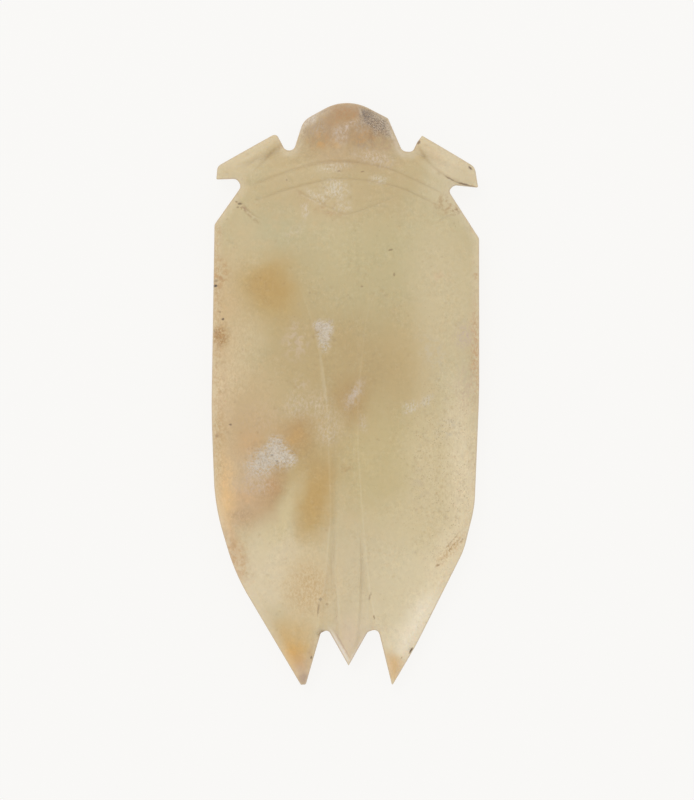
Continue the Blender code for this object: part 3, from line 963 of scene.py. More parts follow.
# Two thin pale strips along the head's right and upper-left rims are painted highlights on lit
# bevels.
PATCHES = stains("""
head_crown -0.36 28.76 2.47 1.03 178 136 92 0.85 flecked
head_crown_brown -0.15 29.48 2.27 0.62 166 136 108 0.55 0 0.8
head_left_side -3.56 27.42 0.93 1.75 170 146 120 0.8 -24 0.6 flecked
head_grey_high -2.22 28.97 0.93 0.62 176 157 136 0.65 -20 flecked
head_left_orange -2.42 26.08 1.34 0.93 194 152 98 0.6 0 0.6 mottled
head_right_orange 2.32 26.49 1.34 1.13 190 150 100 0.7 0 0.6 mottled
head_white_low -0.46 26.7 0.82 1.03 192 177 164 0.65 -20 flecked
head_white_left -2.84 27.53 0.93 0.82 180 164 150 0.7 flecked
head_white_top 0.67 27.84 0.31 0.93 206 190 178 0.8 -40 flecked
head_rim_right 4.69 26.91 1.96 0.18 213 199 181 0.6 -64 0.8
head_dark_streak_left -1.7 27.22 0.31 1.13 160 134 108 0.45 -6 mottled
head_dark_streak 2.63 26.29 0.27 1.13 148 122 96 0.55 4 mottled
head_grey_right 1.7 27.53 0.72 1.03 178 164 150 0.7 0 0.6 flecked
head_grey_low 2.32 25.57 1.03 0.52 172 152 128 0.6 0 0.6 flecked
head_grey_middle 1.49 25.77 0.62 0.72 164 146 122 0.6 0 0.6 flecked
head_orange_dot -2.63 25.67 0.31 0.35 198 156 98 0.45
head_orange_dot_middle -0.98 25.57 0.31 0.35 198 158 102 0.4
head_orange_dot_right 1.39 26.08 0.31 0.45 196 156 102 0.45
head_brown_right 4.18 25.98 1.03 1.24 180 153 122 0.7 -30 0.6 mottled
head_pale_band 2.94 24.33 1.96 0.72 206 192 173 0.7 -14 0.6 flecked
left_rim_white -3.45 28.45 1.65 0.31 214 204 190 0.7 40 0.8
collar_pale -1.19 23.3 1.55 0.41 209 198 175 0.75 4 0.6 flecked
collar_pale_right 3.35 22.06 0.82 0.41 213 203 183 0.75 -12 0.6 flecked
shield_pale -0.98 21.03 1.24 0.93 207 197 177 0.85 0 0.6 flecked
shield_pale_left -2.94 20.21 1.13 0.52 206 195 174 0.8 -28 0.6 flecked
shield_pale_low -0.26 19.28 0.93 0.62 205 193 170 0.7 0 0.6 flecked
shield_edge_left -4.18 19.79 1.24 0.41 178 146 104 0.6 -50 0.8 mottled
shield_edge_low -1.39 18.66 1.65 0.41 180 148 106 0.6 -18 0.8 mottled
back_pale_spot -4.18 18.66 0.31 1.03 209 197 178 0.7 -8 0.6 flecked
back_pale_spot_low -5.41 16.7 1.03 0.52 205 190 166 0.4 30 mottled
white_wedge -2.22 6.91 1.03 0.62 206 195 180 0.95 0 0.5 pitted
white_wedge_middle -2.16 6.08 0.77 0.82 205 194 178 0.9 0 0.5 pitted
white_wedge_tip -2.11 5.15 0.46 0.82 205 194 176 0.85 4 0.6 pitted
wedge_veil -5.1 5.36 1.24 1.86 200 180 156 0.55 0 0.6 mottled
wedge_veil_low -4.48 1.03 0.72 0.72 203 185 160 0.5 0 0.6 mottled
lilac_slash 0.88 0 0.57 1.44 199 186 173 0.75 -32 0.8 flecked
lilac_slash_heart 0.98 0 0.29 0.82 203 190 174 0.35 -32 0.8
grey_blotch 8.4 -0.62 0.82 0.52 210 202 184 1 30 0.6 flecked
grey_blotch_left 6.75 -1.34 0.82 0.52 209 200 181 1 20 0.6 flecked
mottle_left -5.41 -1.13 0.93 1.34 203 186 161 0.65 0 0.8 flecked
mottle_high -3.35 -1.13 1.65 1.24 203 186 161 0.65 20 0.8 flecked
mottle_low -1.7 -3.09 1.55 1.55 202 185 159 0.6 -30 0.8 flecked
mottle_heart -1.8 -4.33 0.72 0.82 204 189 164 0.6 0 0.8 flecked
mottle_right 1.8 -2.99 0.52 0.82 203 188 166 0.65 0 0.6 flecked
wisp_brown 0.05 -7.73 1.03 0.52 178 146 102 0.6 40 mottled
white_crust -7.78 -6.6 2.06 1.24 203 195 182 0.88 14 pitted
white_crust_low -8.92 -7.63 1.24 0.82 203 194 181 0.7 20 pitted
white_crust_top -7.27 -5.46 0.93 1.13 204 195 181 0.85 0 0.6 pitted
white_crust_right -6.13 -6.6 1.13 0.72 205 196 182 0.9 -35 0.6 pitted
crust_orange_right -5.21 -4.54 0.62 1.03 194 156 100 0.55 -30 0.8
crust_orange_low -7.58 -9.38 0.82 0.72 188 148 100 0.6 -30 0.8
crust_veil -9.64 -7.84 2.68 2.47 196 168 136 0.7 flecked
crust_veil_high -9.64 -2.47 2.68 1.86 204 181 152 0.5 0 0.6 flecked
crust_veil_low -9.43 -9.28 1.86 0.93 203 184 166 0.65 flecked
left_edge_rust -12.94 12.37 0.93 1.44 186 147 102 0.8 0 0.6 mottled
left_edge_rust_high -13.14 15.46 0.62 2.27 196 168 130 0.6 flecked
left_rim_brown -13.25 9.69 0.52 7.22 188 154 110 0.75 flecked
left_rim_brown_low -13.04 -5.36 0.62 4.95 192 158 112 0.75 flecked
left_edge_crust -12.84 5.88 0.72 1.03 172 132 82 0.85 0 0.6 pitted
left_edge_brown -13.04 1.86 0.72 3.09 188 156 118 0.7 mottled
left_edge_brown_low -12.84 -3.71 0.72 1.44 188 152 108 0.6 mottled
left_low_rust -11.39 -16.6 1.03 2.47 187 147 102 0.6 26 mottled
right_edge_rust 13.35 4.33 0.62 4.74 190 152 114 0.85 flecked
right_edge_lilac 12.11 5.98 0.82 1.24 194 172 160 0.75 flecked
right_edge_lilac_low 12.22 0.62 0.82 2.47 200 176 154 0.65 flecked
right_veil_grey 9.12 4.33 1.13 1.86 199 186 158 0.6 20 0.6 mottled
right_edge_peach 9.74 11.96 0.93 0.52 208 180 146 0.5 0 0.6 mottled
right_edge_marks 13.35 12.58 0.31 0.82 176 134 90 0.6 0 0.6 mottled
right_veil_low 10.57 -3.51 1.24 1.03 196 184 160 0.6 0 0.6 mottled
right_veil_foot 7.68 -9.69 0.82 1.65 190 174 146 0.5 0 0.6 mottled
right_grain 10.36 -6.39 3.71 9.9 184 158 118 0.3 flecked
left_grain -10.88 1.44 2.47 11.34 184 156 116 0.42 flecked
speckled_foot -3.87 -20 2.06 2.47 188 152 102 0.65 flecked
left_specks -10.57 -12.37 1.13 0.62 176 146 112 0.6 0 0.6 flecked
left_tip_grey -4.18 -29.48 0.52 0.62 168 146 130 0.7
left_tip_rim -3.66 -26.91 0.31 1.65 196 168 128 0.5 -12
""")
# A very dark spot is painted into the chipped hollow of the left notch.
# The four thin pale strips along the edges of the tail point and of the notches beside it are
# painted highlights on lit bevels.
MARKS = stains("""
dark_head_blob 2.11 28.76 0.67 0.52 104 96 92 0.65 -30 0.6 pitted
pale_head_ring 1.55 28.97 0.12 0.47 200 184 162 0.5 20
notch_mark 7.47 25.98 0.23 0.23 104 80 62 0.9 0 0.5
eye_corner_mark 12.84 23.3 0.23 0.09 112 88 70 0.85 -40 0.5
eye_line_mark 12.42 21.57 0.93 0.08 104 80 60 0.85 -14 0.6
eye_line_mark_left 10.77 22.16 0.52 0.08 128 104 84 0.7 -30 0.6
shoulder_mark -10.88 19.59 0.19 0.12 112 90 66 0.75 0 0.5
shoulder_speck -11.08 19.23 0.12 0.1 130 104 76 0.6 0 0.5
shoulder_speck_high -11.24 19.79 0.12 0.1 140 112 84 0.6 0 0.5
shoulder_crumb -10.67 19.18 0.46 0.31 150 116 82 0.7 -38 0.6 mottled
shoulder_trail -9.64 18.35 0.93 0.25 156 124 90 0.6 -45 mottled
right_root_mark 11.29 18.76 0.52 0.31 140 104 70 0.8 20 0.6 mottled
right_root_specks 10.36 19.48 1.24 1.03 172 138 100 0.6 0 0.6 mottled
left_edge_pit -13.45 11.13 0.25 0.12 60 50 44 0.9 0 0.4
left_edge_pit_high -13.35 11.65 0.21 0.14 120 92 68 0.45 0 0.5
left_edge_dot -12.63 7.73 0.12 0.12 88 70 56 0.8 0 0.5
left_edge_dot_high -12.94 8.45 0.12 0.1 140 110 80 0.5 0 0.5
left_dot -11.86 -3.15 0.15 0.1 108 84 62 0.7 0 0.5
left_rim_dot -13.25 -4.33 0.15 0.15 130 102 74 0.4 0 0.6
back_dot 4.64 14.79 0.2 0.1 140 116 86 0.75 20 0.5
back_dot_low 5 12.27 0.1 0.19 148 124 92 0.7 0 0.5
back_dot_left 1.7 11.03 0.12 0.1 152 128 96 0.65 0 0.5
back_dot_far -3.66 10.41 0.12 0.1 166 140 104 0.5 0 0.5
collar_dot -0.67 22.89 0.16 0.08 144 118 90 0.7 0 0.5
collar_dot_right 1.75 22.85 0.16 0.08 144 118 90 0.7 0 0.5
cross_dot -6.03 22.01 0.12 0.1 158 130 98 0.6 -40 0.5
flank_crack_halo 10.77 -16.08 1.86 0.52 192 158 108 0.75 50 flecked
flank_crack 10.46 -16.39 1.55 0.09 146 110 68 0.8 50 0.9 mottled
flank_crack_low 9.54 -17.63 0.18 0.1 148 114 76 0.65 42 0.6
flank_crack_high 12.01 -15.05 0.82 0.08 150 114 76 0.6 48 0.9 mottled
flank_crack_mate 10.98 -15.15 1.13 0.07 152 118 80 0.65 50 0.9 mottled
foot_pit -2.58 -21.13 0.14 0.19 124 100 74 0.6 0 0.5
foot_pit_low -2.78 -22.16 0.1 0.62 140 110 78 0.7 -6 0.6
foot_pit_right -1.91 -21.65 0.16 0.12 156 124 88 0.5 0 0.5
notch_chip -2.42 -24.58 0.31 0.1 84 64 50 0.85 42 0.5
tip_mark -3.52 -27.15 0.09 0.14 112 88 62 0.75 0 0.5
flank_nick 6.75 -26.44 0.35 0.09 88 70 54 0.85 58 0.5
tip_dash 5.76 -27.18 0.12 0.06 150 116 78 0.6 50 0.5
foot_dot 2.94 -22.99 0.09 0.2 134 108 78 0.7 0 0.5
foot_dot_high 2.53 -20.82 0.09 0.41 150 122 92 0.6 -14 0.6
crust_dot -7.58 -6.29 0.12 0.12 136 120 102 0.6 0 0.5
crust_dot_right -7.06 -6.91 0.12 0.12 136 120 102 0.6 0 0.5
point_strip_left -0.55 -26.04 1.86 0.18 228 217 203 0.9 -60.6 0.6
wedge_streak -2.32 1.75 0.16 2.47 200 188 160 0.3 7 0.9
point_line_left -0.28 -25.9 1.75 0.06 186 158 140 0.6 -60.6 0.6
point_strip_right 1.21 -26.19 1.75 0.11 222 208 190 0.75 59 0.6
notch_strip_left -2.63 -25.98 1.44 0.1 222 206 180 0.6 76 0.6
notch_strip_right 3.56 -26.6 1.86 0.1 224 210 188 0.6 -72 0.6
""")
HEAD_PITS, FLANK_SPECKS = stains("""
head_pits 3.1 27.95 1.85 0.92 0 0 0 0.9 -40 0.5
flank_specks 10 -8 4 9.5 0 0 0 1 0 0.5
""")


def stain_group(kind: str) -> bpy.types.NodeTree:
    """Node group that masks one oval patch.

    Args:
        kind: GEOMETRY or SHADER.

    Returns:
        A group with the patch's place and size as inputs and its mask as output.
    """
    bench = NodeBench.start("stain", kind, "Mask", Place="Vector", Centre="Vector",
                            Half_Size="Vector", Turn="Float", Softness="Float")
    given = bench.given
    turned_place = bench.add("ShaderNodeVectorRotate", {
        "Vector": bench.vector("SUBTRACT", given["Place"], given["Centre"]),
        "Angle": given["Turn"]}, rotation_type="Z_AXIS", invert=True)
    scaled = bench.vector("DIVIDE", turned_place, given["Half Size"])
    flat = bench.vector("MULTIPLY", scaled, (1.0, 1.0, 0.0))
    length = bench.add("ShaderNodeVectorMath", {0: flat}, "Value", operation="LENGTH")
    softness = given["Softness"]
    outer = bench.maths("ADD", 1.0, softness)
    return bench.end(bench.step(length, bench.rest(softness), outer, 1.0, 0.0))


def staining_tree() -> bpy.types.NodeTree:
    """Geometry tree that stores the broad stains on the points, one layer for each grain.

    Returns:
        A tree with an input for the share of the clouds that shows on the belly.
    """
    bench = NodeBench.start("broad stains", GEOMETRY, "Geometry", Through="Float")
    group = stain_group(GEOMETRY)
    place = bench.vector("SCALE", bench.add("GeometryNodeInputPosition"), 1.0 / MM)
    height = bench.split(place)[2]
    through = bench.step(height, 0.3, 2.0, bench.given["Through"], 1.0)
    back = bench.back_only(height, bench.read("wall"))
    broad, ragged = bench.wander(place, 0.22, 4.0), bench.wander(place, 0.9, 1.3)
    layers = [("cloud", CLOUDS, broad, through), ("head_pits", (HEAD_PITS,), ragged, back),
              ("flank_specks", (FLANK_SPECKS,), broad, back)]
    for grain in Grain:
        patches = [stain for stain in PATCHES if stain.grain is grain]
        layers.append((grain.value, patches, ragged, back))
    geometry = bench.given["Geometry"]
    for name, patches, where, kept in layers:
        clear: object = 1.0
        paint: object = (0.0, 0.0, 0.0, 1.0)
        for stain in patches:
            mask = bench.times(bench.stain(group, stain, where), kept)
            clear = bench.times(clear, bench.rest(mask))
            paint = bench.tint(mask, paint, stain.colour)
        geometry = bench.store(geometry, f"{name}_clear", clear)
        geometry = bench.store(geometry, f"{name}_paint", paint, "FLOAT_VECTOR")
    return bench.end(geometry)


@dataclass(frozen=True)
class JadeFinish:
    """Weathered, softly polished jade, with a painted glow along its thin rims and a painted
    highlight on its raised ridges.
    """

    name: str = "weathered jade"
    body: Tone = (196, 178, 138)
    warm: Tone = (203, 178, 136)
    cool: Tone = (188, 176, 138)
    rust: Tone = (196, 166, 122)
    milk: Tone = (214, 200, 172)
    # Painted glow of light through the thin rims, laid on near the rim.
    rim: Tone = (217, 202, 172)
    dirt: Tone = (158, 128, 88)
    # Painted highlight on the crests of the raised ridges.
    ridge: Tone = (220, 207, 178)
    edge: Tone = (194, 172, 146)
    pore: Tone = (146, 126, 102)
    speck_dark: Tone = (88, 80, 78)
    speck_grey: Tone = (172, 156, 138)
    speck_white: Tone = (214, 208, 200)
    speck_brown: Tone = (140, 110, 74)
    warm_share: float = 0.4
    rim_glow_share: float = 0.5
    rust_share: float = 0.22
    milk_share: float = 0.14
    pore_share: float = 0.5
    head_share: float = 0.85
    pepper_share: float = 0.34
    sparse_share: float = 0.22
    pit_share: float = 0.3
    wash_swing: float = 0.30
    hair_swing: float = 0.26
    roughness: float = 0.42
    decayed_roughness: float = 0.75
    roughness_swing: float = 0.25
    bump_strength: float = 0.35
    bump_height: float = 0.06
    glow: float = 0.25
    glow_reach: float = 0.0016
    through: float = 0.6

    def speckle_group(self) -> bpy.types.NodeTree:
        """Node group that masks fine round specks.

        Returns:
            A group with the place, the specks per mm and their fullness as inputs.
        """
        bench = NodeBench.start("specks", SHADER, "Mask", Place="Vector", Scale="Float",
                                Fullness="Float")
        given = bench.given
        cells = bench.add("ShaderNodeTexVoronoi", {
            "Vector": given["Place"], "Scale": given["Scale"]}).node.outputs
        reach = bench.times(bench.split(cells["Color"])[0], given["Fullness"])
        return bench.end(bench.step(bench.maths("SUBTRACT", reach, cells["Distance"]), 0.0, 0.12))

    def build(self) -> bpy.types.Material:
        """Make the material.

        Returns:
            The material, patterned on the piece's own coordinates.
        """
        material, shader = new_material(
            self.name, Subsurface_Weight=self.glow, Subsurface_Radius=(1.0, 0.8, 0.5),
            Subsurface_Scale=self.glow_reach, Specular_IOR_Level=0.4)
        bench = NodeBench(material.node_tree)
        group, speckle_group = stain_group(SHADER), self.speckle_group()
        place = bench.vector("SCALE", bench.add("ShaderNodeTexCoord", {}, "Object"), 1.0 / MM)
        fine = bench.wander(place, 3.0, 0.25)
        drawn = bench.vector("MULTIPLY", place, (1.15, 0.65, 1.0))
        wall, rim, decay = bench.read("wall"), bench.read("rim"), bench.read("decay")
        back = bench.back_only(bench.split(place)[2], wall)
        mottle = bench.step(bench.noise(place, 1.6, 5.0, 0.65), 0.42, 0.62)
        flecks = bench.step(bench.noise(drawn, 4.4, 4.0, 0.78), 0.38, 0.66)
        crumb_noise = bench.noise(place, 4.2, 4.0, 0.7)
        crumbs = bench.step(crumb_noise, 0.36, 0.60)

        def broken(mask: Socket, grain: Grain) -> object:
            """Share of a mask that its grain keeps."""
            if grain is not Grain.PITTED:
                return {Grain.EVEN: 1.0, Grain.MOTTLED: mottle, Grain.FLECKED: flecks}[grain]
            held = bench.times(crumbs, bench.step(mask, 0.75, 1.0, 1.0, 0.45))
            return bench.maths("ADD", held, bench.step(mask, 0.75, 1.0, 0.0, 0.55), True)

        def mark_mask(stain: Stain) -> Socket:
            """Mask of one mark of the back, broken up by its grain."""
            mask = bench.stain(group, stain, fine)
            if stain.grain is not Grain.EVEN:
                mask = bench.times(mask, broken(mask, stain.grain))
            return bench.times(mask, back)

        def covered(name: str) -> Socket:
            """Share that a stored layer of stains covers."""
            return bench.rest(bench.read(f"{name}_clear"))

        def layer(name: str, grain: Grain, base: object) -> tuple[Socket, Socket]:
            """Colour with a stored layer of stains laid over it, and the layer's mask."""
            share = covered(name)
            kept = broken(share, grain)
            mask = bench.times(share, kept)
            paint = bench.vector("SCALE", bench.read(f"{name}_paint", "Vector"), kept)
            return bench.vector("ADD", bench.vector("SCALE", base, bench.rest(mask)), paint), mask

        def specks(scale: float, fullness: float, where: Socket) -> Socket:
            """Mask of fine specks."""
            return bench.add("ShaderNodeGroup", {
                "Place": where, "Scale": scale, "Fullness": fullness}, node_tree=speckle_group)

        large = bench.noise(place, 0.16)
        small = bench.noise(place, 0.75, 4.0, 0.6)
        hair = bench.noise(drawn, 5.8, 3.0, 0.7)
        wash = bench.noise(place, 1.9, 4.0, 0.6)
        veil = bench.noise(place, 2.7, 3.0, 0.6)
        patchy = bench.step(bench.noise(place, 0.33), 0.38, 0.62, 0.35, 1.0)
        colour = bench.tint(bench.step(large, 0.35, 0.65), from_srgb(self.body), self.cool)
        warmth = bench.times(bench.step(small, 0.45, 0.7), self.warm_share)
        colour = bench.tint(warmth, colour, self.warm)
        colour, _ = layer("cloud", Grain.EVEN, colour)
        # The first tint is a painted glow of light through the thin rims; the rust and milk tints
        # are the stone's own veils.
        for share, tone in (
            (bench.times(bench.step(rim, 0.1, 1.0), self.rim_glow_share), self.rim),
            (bench.times(bench.step(veil, 0.48, 0.70), self.rust_share, patchy), self.rust),
            (bench.times(bench.step(veil, 0.50, 0.30), self.milk_share, patchy), self.milk),
        ):
            colour = bench.tint(share, colour, tone)
        masks = {}
        for grain in Grain:
            colour, masks[grain] = layer(grain.value, grain, colour)
        pores = bench.times(masks[Grain.PITTED], specks(7.5, 0.62, fine), self.pore_share)
        colour = bench.tint(pores, colour, self.pore)
        swing = bench.maths("ADD", bench.swing(wash, self.wash_swing),
                            bench.swing(hair, self.hair_swing))
        swing = bench.maths("ADD", bench.times(swing, patchy), 1.0)
        colour = bench.vector("SCALE", colour, swing)
        grey = bench.tint(specks(9.0, 0.85, fine), from_srgb(self.speck_grey), self.speck_dark)
        grey = bench.tint(specks(11.0, 0.5, place), grey, self.speck_white)
        colour = bench.blend(bench.times(covered("head_pits"), self.head_share), colour, grey)
        peppered = bench.times(specks(5.2, 0.5, fine), bench.step(small, 0.35, 0.6),
                               covered("flank_specks"), self.pepper_share)
        colour = bench.tint(peppered, colour, self.speck_brown)
        sparse = bench.times(specks(2.3, 0.2, fine), back, self.sparse_share)
        colour = bench.tint(sparse, colour, self.speck_brown)
        for stain in MARKS:
            colour = bench.tint(mark_mask(stain), colour, stain.colour)
        cut = bench.maths("MAXIMUM", bench.read("cut"), bench.read("cut_below"))
        # worn sets how strong the painted highlight on the raised ridges is, changing with broad
        # noise.
        worn = bench.step(large, 0.35, 0.6, 0.12, 0.2)
        # Dirt in the cuts and pits is the stone's own; the ridge tint is a painted highlight; the
        # last tint is a darker band along the rounded rim.
        for share, tone in (
            (bench.times(cut, bench.step(wash, 0.3, 0.65, 0.1, 0.28)), self.dirt),
            (bench.times(bench.read("ridge"), worn), self.ridge),
            (bench.times(bench.read("pit"), self.pit_share), self.dirt),
            (bench.times(bench.step(rim, 0.88, 1.0), bench.step(wall, 0.5, 1.0, 0.5, 0.1)),
             self.edge),
        ):
            colour = bench.tint(share, colour, tone)
        bench.feed(shader.inputs["Base Color"], colour)
        rough = bench.step(decay, 0.1, 0.9, self.roughness, self.decayed_roughness)
        rough = bench.maths("ADD", rough, bench.swing(small, self.roughness_swing))
        bench.feed(shader.inputs["Roughness"], rough)
        grainy = bench.maths("ADD", bench.times(hair, 0.35), bench.times(crumb_noise, 0.65))
        bump = bench.add("ShaderNodeBump", {
            "Strength": self.bump_strength, "Distance": self.bump_height * MM,
            "Height": bench.times(grainy, bench.step(decay, 0.0, 1.0, 0.25, 1.6))})
        bench.feed(shader.inputs["Normal"], bump)
        return material


@dataclass
class Plaque:
    """The cicada: one carved piece of jade; sizes in mm."""

    outline: Outline = Outline()
    form: Form = Form()
    finish: JadeFinish = JadeFinish()
    back_step: float = 0.19
    belly_step: float = 0.32
    crowding: float = 0.6
    stroke_gap: float = 0.09
    rim_rounding: float = 0.16
    inset_trials: tuple[float, ...] = (0.04, 0.06, 0.09, 0.12, 0.16)
    least_inset: float = 0.02
    clearance: float = 0.97
    trial_growth: float = 0.45
    rim_drop: float = 0.2
    rim_drop_share: float = 0.3
    rim_rows: int = 4
    rim_settling: int = 12
    rim_slope: float = 0.2
    rim_glow: float = 1.3
    wall_rows: int = 3
    bevel_rows: tuple[float, ...] = (0.12, 0.26, 0.42, 0.6, 0.78)
    least_decay: float = 0.012
    belly_decay: float = 0.1
    decayed: tuple[Stain, ...] = stains("""
        head 3.1 27.9 1.6 1.2 0 0 0 1 -38
        crust -7.6 -6.3 2.4 1.7 0 0 0 1
        wedge -2.3 6.1 1.1 1.3 0 0 0 0.8
        left_edge -12.7 6.3 0.9 1.2 0 0 0 1
        shield -1.3 20.4 1.8 1.5 0 0 0 0.3
        head_top 0 27.5 4.6 3 0 0 0 0.2
        speckled_flank 10 -8 3.6 9 0 0 0 0.12
    """)
    pit_density: float = 9.0e6
    pit_radius: float = 0.26
    pit_depth: float = 0.07
    smallest_pit: float = 0.35
    wave_height: float = 0.06
    waves_per_metre: float = 260.0
    seed: int = 7

    def decay(self, points: Array) -> Array:
        """How weathered the surface is.

        Args:
            points: Array of (x, y).

        Returns:
            A share from 0 to 1 for each point.
        """
        found = np.full(len(points), self.least_decay)
        for patch in self.decayed:
            along, across = turned(points, patch.centre, patch.turn)
            reach = np.hypot(along / patch.half_size[0], across / patch.half_size[1])
            found = np.maximum(found, patch.strength * ease((1.25 - reach) / 0.5))
        return found

    def rim_inset(self, rim: Array) -> Array:
        """How far the rim is rounded inward at each of its points.

        Args:
            rim: Closed polygon of (x, y).

        Returns:
            One distance for each point.
        """
        inward = Outline.inward(rim)
        inset = np.full(len(rim), self.least_inset)
        for amount in self.inset_trials:
            clear = rim_distance(rim + inward * amount, rim) >= self.clearance * amount
            inset[clear & (inset >= amount * self.trial_growth)] = amount
        gaps = np.linalg.norm(np.roll(rim, -1, 0) - rim, axis=1)
        for _ in range(self.rim_settling):
            inset = np.minimum(inset, np.roll(inset, 1) + self.rim_slope * np.roll(gaps, 1))
            inset = np.minimum(inset, np.roll(inset, -1) + self.rim_slope * gaps)
        return inset

    def sheet(self, border: Array, rim: Array, step: float,
              guides: tuple[StrokeSet, ...]) -> tuple[Array, list[tuple[int, ...]]]:
        """Flat triangulated sheet inside a border.

        Args:
            border: Closed polygon of (x, y), kept as the first points of the sheet.
            rim: Rim polygon that the inner rows follow.
            step: Distance between inner points, in mm.
            guides: Strokes that the mesh follows.

        Returns:
            The points and the triangles.
        """
        gap = step * self.crowding
        sieve = PointSieve(gap)
        sieve.add(border, 0.0)
        inward = Outline.inward(rim)
        bevels = [row + self.rim_rounding for row in self.bevel_rows]
        for strokes in guides:
            for stroke in strokes.strokes:
                rows = stroke.rows(strokes.half_width)
                rows = rows[inside_polygon(rows, rim)]
                sieve.add(rows[rim_distance(rows, rim) > bevels[0]], self.stroke_gap)
        for row in bevels:
            inner = rim + inward * row
            clear = rim_distance(inner, rim) >= self.clearance * row
            sieve.add(inner[clear & inside_polygon(inner, rim)], gap)
        low, high = rim.min(0), rim.max(0)
        hexes = []
        for index, y in enumerate(np.arange(low[1], high[1], step * math.sqrt(0.75))):
            xs = np.arange(low[0] + (index % 2) * step / 2.0, high[0], step)
            hexes.append(np.stack((xs, np.full(len(xs), y)), 1))
        grid = np.concatenate(hexes)
        grid = grid[inside_polygon(grid, rim)]
        sieve.add(grid[rim_distance(grid, rim) > bevels[-1]], gap)
        count = len(border)
        loop = [(index, (index + 1) % count) for index in range(count)]
        given = [Vector(point) for point in sieve.kept]
        places, _, corners, sources, *_ = delaunay_2d_cdt(given, loop, [], 0, 1e-7, True)
        order = {source: index for index, found in enumerate(sources) for source in found}
        points = np.array([tuple(point) for point in places])
        corners = np.array([tuple(face) for face in corners])
        faces = corners[inside_polygon(points[corners].mean(1), border)]
        kept = [order[index] for index in range(count)]
        kept += sorted(set(faces.ravel().tolist()) - set(kept))
        ranks = {index: rank for rank, index in enumerate(kept)}
        return points[kept], [tuple(ranks[index] for index in face) for face in faces.tolist()]

    def blank(self) -> bpy.types.Object:
        """Closed mesh of the plaque before its lines are cut.

        Returns:
            The piece, with its side, rim, decay and wall marks stored on the points.
        """
        rim = self.outline.polygon()
        border = rim + Outline.inward(rim) * self.rim_inset(rim)[:, None]
        count = len(rim)
        top, top_faces = self.sheet(border, rim, self.back_step, (BACK_CUTS, BACK_RIDGES))
        low, low_faces = self.sheet(border, rim, self.belly_step, (BELLY_CUTS,))
        top_gap, low_gap = rim_distance(top, rim), rim_distance(low, rim)
        top_height = self.form.back(top, rim, top_gap)
        low_height = self.form.belly(low, rim, low_gap)
        form = bmesh.new()
        marks = [form.verts.layers.float.new(name) for name in ("side", "rim", "decay", "wall")]

        def add(points: Array, heights: Array, face: float, gaps: Array,
                flank: float = 0.0) -> list[bmesh.types.BMVert]:
            """Add points with their marks.

            Args:
                points: Array of (x, y).
                heights: Their heights.
                face: Side that they lie on, or zero on the wall.
                gaps: Their distances from the rim.
                flank: How far they belong to the wall.

            Returns:
                The new points.
            """
            added = []
            worn = self.decay(points) * (1.0 if face > 0.0 else self.belly_decay)
            for (x, y), height, gap, wear in zip(points, heights, gaps, worn):
                vert = form.verts.new((x * MM, y * MM, height * MM))
                # near_rim is closeness to the rim; the material uses it to paint a glow along the
                # thin edges and a darker band on the rounded rim.
                near_rim = max(0.0, 1.0 - gap / self.rim_glow)
                for mark, value in zip(marks, (face, near_rim, wear, flank)):
                    vert[mark] = value
                added.append(vert)
            return added

        top_verts = add(top, top_height, 1.0, top_gap)
        low_verts = add(low, low_height, -1.0, low_gap)
        zero = np.zeros(count)
        edge_top, edge_low = top_height[:count], low_height[:count]
        depth = np.minimum(self.rim_drop, (edge_top - edge_low) * self.rim_drop_share)
        arc = []
        for row in range(1, self.rim_rows + 1):
            angle = math.pi / 2.0 * row / self.rim_rows
            drop = depth * (1.0 - math.cos(angle))
            arc.append((border + (rim - border) * math.sin(angle), drop, 0.5 * row / self.rim_rows))
        rows = [top_verts[:count]]
        rows += [add(places, edge_top - drop, 0.0, zero, flank) for places, drop, flank in arc]
        for row in range(1, self.wall_rows + 1):
            share = row / (self.wall_rows + 1)
            heights = (edge_top - depth) * (1.0 - share) + (edge_low + depth) * share
            rows.append(add(rim, heights, 0.0, zero, 1.0))
        rows += [add(places, edge_low + drop, 0.0, zero, 1.0) for places, drop, _ in reversed(arc)]
        rows.append(low_verts[:count])
        for face in top_faces:
            form.faces.new([top_verts[index] for index in face])
        for face in low_faces:
            form.faces.new([low_verts[index] for index in reversed(face)])
        for upper, lower in zip(rows, rows[1:]):
            for index in range(count):
                after = (index + 1) % count
                form.faces.new((upper[index], upper[after], lower[after], lower[index]))
        bmesh.ops.triangulate(form, faces=[face for face in form.faces if len(face.verts) > 3])
        bmesh.ops.recalc_face_normals(form, faces=form.faces)
        mesh = bpy.data.meshes.new("jade_plaque")
        form.to_mesh(mesh)
        form.free()
        return new_object("jade_plaque", mesh)

    def build(self) -> bpy.types.Object:
        """Build, carve, weather and dress the plaque, and tie it to the frame.

        Returns:
            The finished piece.
        """
        material = self.finish.build()
        piece = self.blank()
        LOG.info("blank has %d triangles", len(piece.data.polygons))
        carving = carving_tree()
        for strokes in (BACK_RIDGES, BACK_CUTS, BELLY_CUTS):
            guides = strokes.curves()
            run_tree(piece, carving, Guides=guides, Side=strokes.side.value, Mark=strokes.mark,
                     Half_Width=strokes.half_width * MM, Depth=strokes.depth * MM,
                     Material=material)
            bpy.data.curves.remove(guides.data)
        run_tree(piece, pitting_tree(), Density=self.pit_density, Pit_Radius=self.pit_radius * MM,
                 Pit_Depth=self.pit_depth * MM, Smallest=self.smallest_pit,
                 Wave_Height=self.wave_height * MM, Wave_Scale=self.waves_per_metre,
                 Seed=self.seed, Material=material)
        run_tree(piece, staining_tree(), Through=self.finish.through, Material=material)
        piece.data.name = piece.name
        piece.data.shade_smooth()
        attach(piece, "root")
        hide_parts(NODE)
        return piece


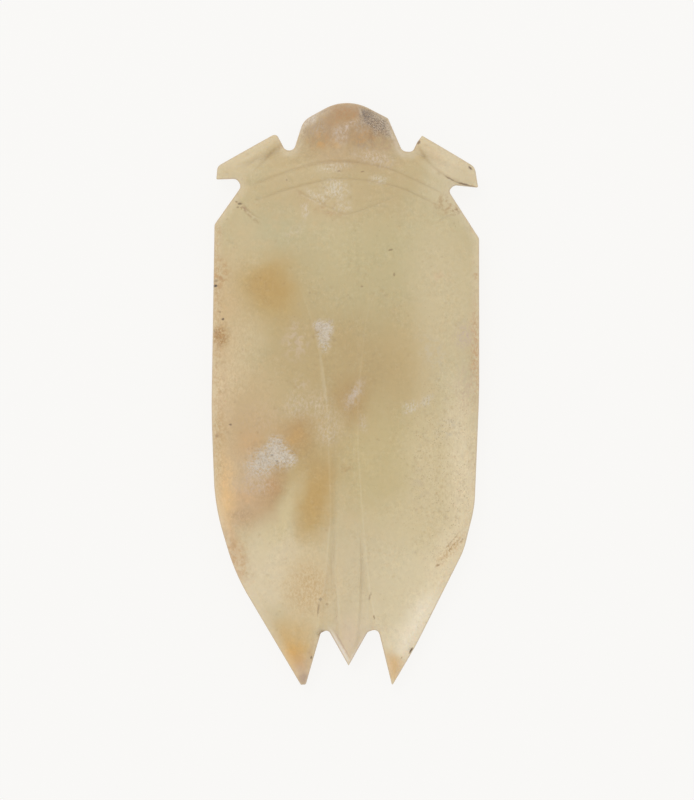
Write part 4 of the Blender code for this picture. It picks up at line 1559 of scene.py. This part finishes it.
@dataclass
class Studio:
    """Pale table, soft lights and a camera that looks straight down."""

    floor_half: float = 1.5
    view_height: float = 0.9
    rim_level: float = 0.002
    pixel: float = 60.0 / 582.0 * MM
    image: tuple[int, int] = (694, 800)
    middle_pixel: tuple[float, float] = (345.5, 394.0)
    sensor: float = 24.0
    clip: tuple[float, float] = (0.01, 10.0)
    floor_tone: Tone = (249, 248, 246)
    floor_shade: float = 0.06
    sky: float = 0.86
    panel_size: float = 0.4
    panel_power: float = 1.65
    panel_place: tuple[float, float, float] = (-0.2, 0.42, 0.75)

    def floor(self) -> None:
        """Plain pale table."""
        form = bmesh.new()
        bmesh.ops.create_grid(form, x_segments=1, y_segments=1, size=self.floor_half)
        mesh = bpy.data.meshes.new("table")
        form.to_mesh(mesh)
        form.free()
        floor = new_object("table", mesh)
        shade = self.floor_shade
        glow = [value - shade for value in from_srgb(self.floor_tone)[:3]]
        material, _ = new_material(
            "pale table", Base_Color=(shade, shade, shade, 1.0), Roughness=1.0,
            Specular_IOR_Level=0.0, Emission_Color=(*glow, 1.0), Emission_Strength=1.0)
        mesh.materials.append(material)

    def camera(self) -> None:
        """Long lens straight above the plaque, at the photograph's framing."""
        lens = bpy.data.cameras.new("camera")
        camera = new_object("camera", lens)
        x = (self.image[0] / 2.0 - self.middle_pixel[0]) * self.pixel
        y = (self.middle_pixel[1] - self.image[1] / 2.0) * self.pixel
        camera.location = (x, y, self.rim_level + self.view_height)
        lens.sensor_fit = "VERTICAL"
        lens.sensor_height = self.sensor
        lens.lens = self.sensor * self.view_height / (self.image[1] * self.pixel)
        lens.clip_start, lens.clip_end = self.clip
        bpy.context.scene.camera = camera

    def lights(self) -> None:
        """Even sky and one broad soft light from the upper left."""
        world = bpy.data.worlds.new("studio")
        world.use_nodes = True
        sky = world.node_tree.nodes["Background"]
        sky.inputs["Color"].default_value = (1.0, 1.0, 1.0, 1.0)
        sky.inputs["Strength"].default_value = self.sky
        bpy.context.scene.world = world
        panel = bpy.data.lights.new("window", "AREA")
        panel.shape = "SQUARE"
        panel.size = self.panel_size
        panel.energy = self.panel_power
        window = new_object("window", panel)
        window.location = self.panel_place
        window.rotation_euler = (-window.location).to_track_quat("-Z", "Y").to_euler()

    def build(self) -> None:
        """Set the stage."""
        self.camera()
        self.floor()
        self.lights()
        bpy.context.scene.view_settings.view_transform = "Standard"


def main() -> None:
    """Load the frame, build every piece and report it."""
    logging.basicConfig(level=logging.INFO, format="%(name)s: %(message)s")
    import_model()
    Studio().build()
    piece = Plaque().build()
    LOG.info("%s has %d triangles", piece.name, len(piece.data.polygons))


if __name__ == "__main__":
    main()
